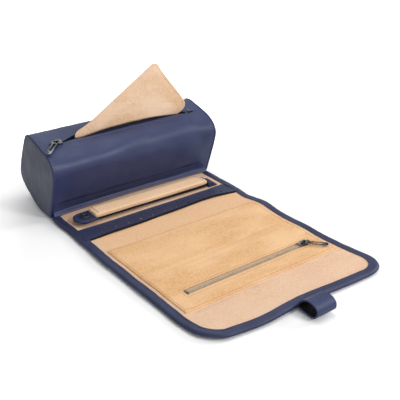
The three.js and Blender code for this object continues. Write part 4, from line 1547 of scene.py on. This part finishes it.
def make_tab(name, columns, place, shift, body, stands_for):
    shape = make_grid(columns, tab_shares, place)
    thicken(shape, shift)
    return make_piece(name, shape, "navy_leather", body, stands_for, look=bound_leather)


snap_left, snap_right, snap_half, snap_top = -96.0, -72.0, 11.5, 10.3
snap_centre = snap_left + snap_half


def place_snap_tab(x, share):
    beyond = max(snap_centre - x, 0.0)
    reach = max(math.sqrt(max(snap_half * snap_half - beyond ** 2, 0.0)), 0.4)
    y = bar_y + share * reach
    rim = min(reach * (1 - abs(share)), x - snap_left)
    return Vector((x, y, snap_top - roll_down(rim) + 0.12 * waver(x, y, 9, 4.4)))


columns = [snap_left + snap_half * (1 - math.cos(angle)) for angle in spread(0, math.pi / 2, 0.09)]
columns += spread(snap_centre + 0.8, snap_right, 0.9)
make_tab("snap_strap", columns, place_snap_tab, down(1.4), "ring_bar", ["ring_bar_snap_tab"])
print("columns of the snap tab:", len(columns))

# %% [markdown]
# The anchor tab is sewn to the panel beyond the bar. It rises from its seam to the height of
# the bar, and its end is cut on a slant, as the bar's own end is.

# %% Anchor tab
anchor_left, anchor_right, anchor_half, anchor_foot = 79.4, 92.0, 10.6, 3.6


def anchor_height(x):
    return 4.9 + 4.4 * (1 - smooth_step(84.0, 91.2, x))


def place_anchor_tab(x, share):
    y = bar_y + share * anchor_half
    rim = min(anchor_half * (1 - abs(share)), 9)
    height = anchor_height(x) - roll_down(rim) + 0.12 * waver(x, y, 9, 4.4)
    slant = 4.4 * smooth_step(-0.2, 1.0, share) * (anchor_right - x) / (anchor_right - anchor_left)
    return Vector((x - slant, y, height))


make_tab(
    "anchor_strap", spread(anchor_left, anchor_right, 0.8), place_anchor_tab,
    lambda co: Vector((co.x, co.y, anchor_foot)), "ring_section", ["ring_bar_anchor_tab"],
)
print("height of the anchor tab:", anchor_height(anchor_left), "mm")

# %% [markdown]
# The press stud is turned metal under black enamel. Its profile is a short list of points
# that spin carries once round its axis.

# %% Press stud
cap_profile = [
    (0.0, 11.5), (1.6, 11.45), (2.2, 11.6), (2.6, 11.95), (3.1, 12.1), (3.9, 12.05), (4.6, 11.75),
    (4.95, 11.2), (5.0, 10.5), (4.6, 10.35), (0.0, 10.35),
]
snap_x = -83.0
turning_steps = 40


def turned(profile, x, y):
    shape = bmesh.new()
    verts = [shape.verts.new((x + radius, y, z)) for radius, z in profile]
    edges = [shape.edges.new(pair) for pair in zip(verts, verts[1:])]
    bmesh.ops.spin(
        shape, geom=verts + edges, cent=(x, y, 0), axis=(0, 0, 1), angle=math.tau, steps=turning_steps,
        use_merge=True,
    )
    return shape


shape = turned(cap_profile, snap_x, bar_y)
cap = make_piece("snap_cap_turned", shape, "snap_metal", body="ring_bar", stands_for=["snap_cap"])
print("snap cap faces:", len(cap.data.polygons))

# %% [markdown]
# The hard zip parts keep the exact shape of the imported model. Each is copied, its loose
# triangles are merged, and a narrow bevel is put on its edges so that they catch the light.

# %% Zip sliders, pulls and stops
flat_angle, sharp_angle = math.radians(1.0), math.radians(30)


def is_sharp(edge):
    return len(edge.link_faces) == 2 and edge.calc_face_angle(0) > sharp_angle


def bevelled_copy(node, finish, body, width):
    shape = bmesh.new()
    shape.from_mesh(bpy.data.objects[node].data)
    bmesh.ops.scale(shape, vec=(1 / MM, 1 / MM, 1 / MM), verts=shape.verts)
    weld(shape)
    bmesh.ops.dissolve_limit(shape, angle_limit=flat_angle, verts=shape.verts, edges=shape.edges)
    sharp = [edge for edge in shape.edges if is_sharp(edge)]
    bmesh.ops.bevel(
        shape, geom=sharp, offset=width, offset_type="OFFSET", segments=2, profile=0.5, affect="EDGES",
        material=-1, clamp_overlap=True,
    )
    return make_piece(node + "_polished", shape, finish, body=body, stands_for=[node])


zip_parts = {
    "mouth_slider": "mouth_slider",
    "mouth_pull": "mouth_pull",
    "mouth_end_stop": "bolster",
    "pocket_slider": "pocket_slider",
    "pocket_pull": "pocket_pull",
    "pocket_stop_left": "zip_section",
    "pocket_stop_right": "zip_section",
}
for node, body in zip_parts.items():
    made = bevelled_copy(node, "zip_metal", body, 0.14)
    print(made.name, len(made.data.polygons), "faces")
bevelled_copy("snap_stud", "snap_metal", "ring_section", 0.2)

# %% [markdown]
# ## The closure loop
# A strap of navy leather is folded to a flat loop at the middle of the front edge, and the
# closed roll is tied through it. The strap follows one drop-shaped outline, and its edges
# are slightly rounded. The inner side of the loop is flat black painted shade.

# %% Closure loop
loop_back, loop_base, loop_long, loop_high = -284.4, 1.2, 26, 15.3
loop_shares = [
    (0, 0.22), (-0.03, 0.33), (-0.14, 0.62), (-0.3, 0.86), (-0.52, 0.99), (-0.76, 0.96), (-0.94, 0.78),
    (-1, 0.5), (-0.95, 0.23), (-0.8, 0.04), (-0.6, 0), (-0.4, 0.03), (-0.2, 0.09), (-0.05, 0.15),
]
loop_points = rounded_loop([
    Vector((loop_back + reach * loop_long, loop_base + height * loop_high)) for reach, height in loop_shares
], 5)


def place_loop(i, x):
    point = loop_points[i % len(loop_points)]
    sway = 0.5 * smooth_step(-288, -300, point.x) * waver(x, point.x, 14, 1.1)
    return Vector((x + 0.6 * sway, point.x, max(point.y + sway, 1.0)))


shape = make_grid(list(range(len(loop_points) + 1)), spread(-8, 15.4, 1.3), place_loop)
weld(shape)
loop = make_piece("tie_loop", shape, "navy_leather", body="closure_loop", stands_for=["closure_loop"])
turn_outwards(loop, (3.7, -298, 60), (0, 0, 1))
# Painted shade: the inner side that the thickness adds is flat black, for the shade inside the loop.
loop.data.materials.append(black_painted_shade)
give_wall(loop, 1.6, -1).material_offset = 1
rounding = loop.modifiers.new("rounding", "BEVEL")
rounding.width = 0.35 * MM
rounding.segments = 3
rounding.limit_method = "ANGLE"
rounding.angle_limit = math.radians(50)
apply_modifiers(loop)
print("loop faces:", len(loop.data.polygons))

# %% [markdown]
# ## Stitching
# The roll is sewn with thread in the colour of each part. One stitch is a short pin of eight
# faces that sinks a little into the surface at both ends, and every seam is a row of them.
# The rows on the panel are cut at the same places as its layers.

# %% Thread finish and the stitch maker
def thread_finish(name, colour):
    material, tree, shader, place = start_material(name, 0.7, Sheen_Weight=0.15)
    twist = add_noise(tree, place, 1800, detail=2)
    lighter = tuple(min(value * 1.25, 1.0) for value in colour)
    tree.links.new(add_mix(tree, twist, colour, lighter), shader.inputs["Base Color"])
    add_bump(tree, shader, twist, 0.00006)
    return material


navy_thread = thread_finish("navy_thread", (0.040, 0.046, 0.125))
brown_thread = thread_finish("brown_thread", (0.36, 0.150, 0.085))
dark_thread = thread_finish("dark_thread", (0.060, 0.035, 0.040))


def sew(shape, path, pitch=3.2, length=2.3, width=0.5):
    gone = 0.0
    target = pitch / 2
    for a, b in zip(path, path[1:]):
        a, b = Vector(a), Vector(b)
        step = (b - a).length
        while step > 1e-9 and target <= gone + step:
            centre = a.lerp(b, (target - gone) / step)
            add_pin(shape, centre, (b - a).normalized() * length, width, width * 0.8)
            target += pitch
        gone += step


faces_of_a_stitch = pin_sides + 2


def thread_piece(name, paths, thread, finish, body=None, part=None):
    shape = bmesh.new()
    for path, *stitch in paths:
        sew(shape, path, *stitch)
    piece = make_piece(name, shape, finish, body=body, merge=pin_merge, look=thread)
    if part:
        bend_piece(piece, part)
    print(name, len(piece.data.polygons) // faces_of_a_stitch, "stitches")


# %% [markdown]
# On the panel one seam follows the binding all round. It runs straight along the sides, and on
# the flap an arc turns it round each front corner.

# %% Seams of the binding
seam_inset = 7.6
seam_x = half_width - seam_inset
seam_radius = corner_radius - seam_inset
corner_x = half_width - corner_radius


def corner_line(side, angles):
    return [
        (side * (corner_x + seam_radius * math.cos(angle)), corner_y - seam_radius * math.sin(angle))
        for angle in angles
    ]


def on_binding(line):
    return [settle(x, y, 4.3) for x, y in line]


for part, facts in panel_parts.items():
    back = facts["back"] - (3 if part == "ring" else 0)
    front = corner_y if part == "flap" else facts["front"]
    paths = [(on_binding([(side * seam_x, y) for y in spread(back, front, 2)]),) for side in (-1, 1)]
    if part == "flap":
        line = corner_line(-1, spread(0, math.pi / 2, 0.06))
        line += [(x, front_y + seam_inset) for x in spread(-80, 80, 2)]
        line += corner_line(1, spread(math.pi / 2, 0, 0.06))
        paths.append((on_binding(line),))
    thread_piece(f"binding_stitches_{part}", paths, navy_thread, "navy_leather", part=part)

# %% [markdown]
# The pocket is sewn down close to its rim, and a second, finer seam goes round the slot of its
# zip. The rows on its back part end where that part ends.

# %% Seams of the pocket
rim_seam, slot_seam = (2.6, 1.9, 0.42), (2.6, 1.9, 0.36)
rim_x, rim_back, rim_front = pocket_half - 2.2, pocket_back - 2.2, pocket_front + 2.2
frame_left, frame_right = slot_left - 2.6, slot_right + 2.6
frame_back, frame_front = slot_back + 2.6, slot_front - 2.6


def across_pocket(y, left, right):
    return [place_pocket(x, y, 0.02) for x in spread(left, right, 2)]


def along_pocket(x, back, front):
    return [place_pocket(x, y, 0.02) for y in spread(back, front, 2)]


paths = [(along_pocket(side * rim_x, rim_back, cut_front), *rim_seam) for side in (-1, 1)]
paths.append((across_pocket(rim_back, -rim_x, rim_x), *rim_seam))
thread_piece("pocket_stitches_back", paths, brown_thread, "tan_suede", part="zip")

paths = [(along_pocket(side * rim_x, cut_front, rim_front), *rim_seam) for side in (-1, 1)]
paths.append((across_pocket(rim_front, -rim_x, rim_x), *rim_seam))
paths += [(across_pocket(y, frame_left, frame_right), *slot_seam) for y in (frame_back, frame_front)]
paths += [(along_pocket(x, frame_back, frame_front), *slot_seam) for x in (frame_left, frame_right)]
thread_piece("pocket_stitches_front", paths, brown_thread, "tan_suede", body="zip_section")

# %% [markdown]
# The bolster has a seam along each lip of its zip and one along its foot. The earring strap is
# sewn at both ends and along its back, the tabs of the ring bar have short seams of their own,
# and a few stitches close each end of the pad.

# %% Seams of the bolster, the strap and the tabs
fine_seam, tab_seam = (2.8, 2.1, 0.45), (2.4, 1.8, 0.4)

lips = [[wall_point(x, share) for x in spread(-92, 93, 2)] for share in (1.0 - 3.6 / girth, 3.6 / girth)]
thread_piece("mouth_stitches", [(path, *fine_seam) for path in lips], dark_thread, "navy_leather", "bolster")

path = [place_foot(8, x) + Vector((0, -0.1, 0.1)) for x in spread(-96, 98, 2)]
thread_piece("foot_stitches", [(path, 2.8, 2.2, 0.5)], brown_thread, "navy_leather", "bolster")

paths = [([place_strip(side * 96.6, y, 0.95) for y in spread(-50, -72, 2)], *fine_seam) for side in (-1, 1)]
paths.append(([place_strip(x, -50.2, 0.93) for x in spread(-95, 95, 2)], *fine_seam))
thread_piece("strap_stitches", paths, navy_thread, "navy_leather", "ring_section")

curl_x, curl_end_x, curl_radius, curl_z = -82.9, -73, 9.6, 10.2
path = [(curl_end_x, bar_y - curl_radius, curl_z)]
for angle in spread(math.pi * 1.5, math.pi * 0.5, 0.08):
    path.append((curl_x + curl_radius * math.cos(angle), bar_y + curl_radius * math.sin(angle), curl_z))
path.append((curl_end_x, bar_y + curl_radius, curl_z))
thread_piece("snap_strap_stitches", [(path, *tab_seam)], navy_thread, "navy_leather", "ring_bar")

above = Vector((0, 0, 0.05))
paths = []
for x in (bar_left + 4.2, bar_right - 4.2):
    paths.append(([bar_point(x, angle) + above for angle in spread(0.35, 2.8, 0.05)], 3.4, 2.4, 0.5))
thread_piece("bar_end_stitches", paths, dark_thread, "bar_padding", "ring_bar")

anchor_seam_x, anchor_seam_half = 89.4, 9.4
path = [
    (anchor_seam_x, bar_y + side * anchor_seam_half, anchor_height(anchor_seam_x)) for side in (-1, 1)
]
thread_piece("anchor_strap_stitches", [(path, *tab_seam)], navy_thread, "navy_leather", "ring_section")

# %% [markdown]
# The last cell sets the view transform and updates the scene.

# %% Finish
scene.view_settings.view_transform = "Standard"
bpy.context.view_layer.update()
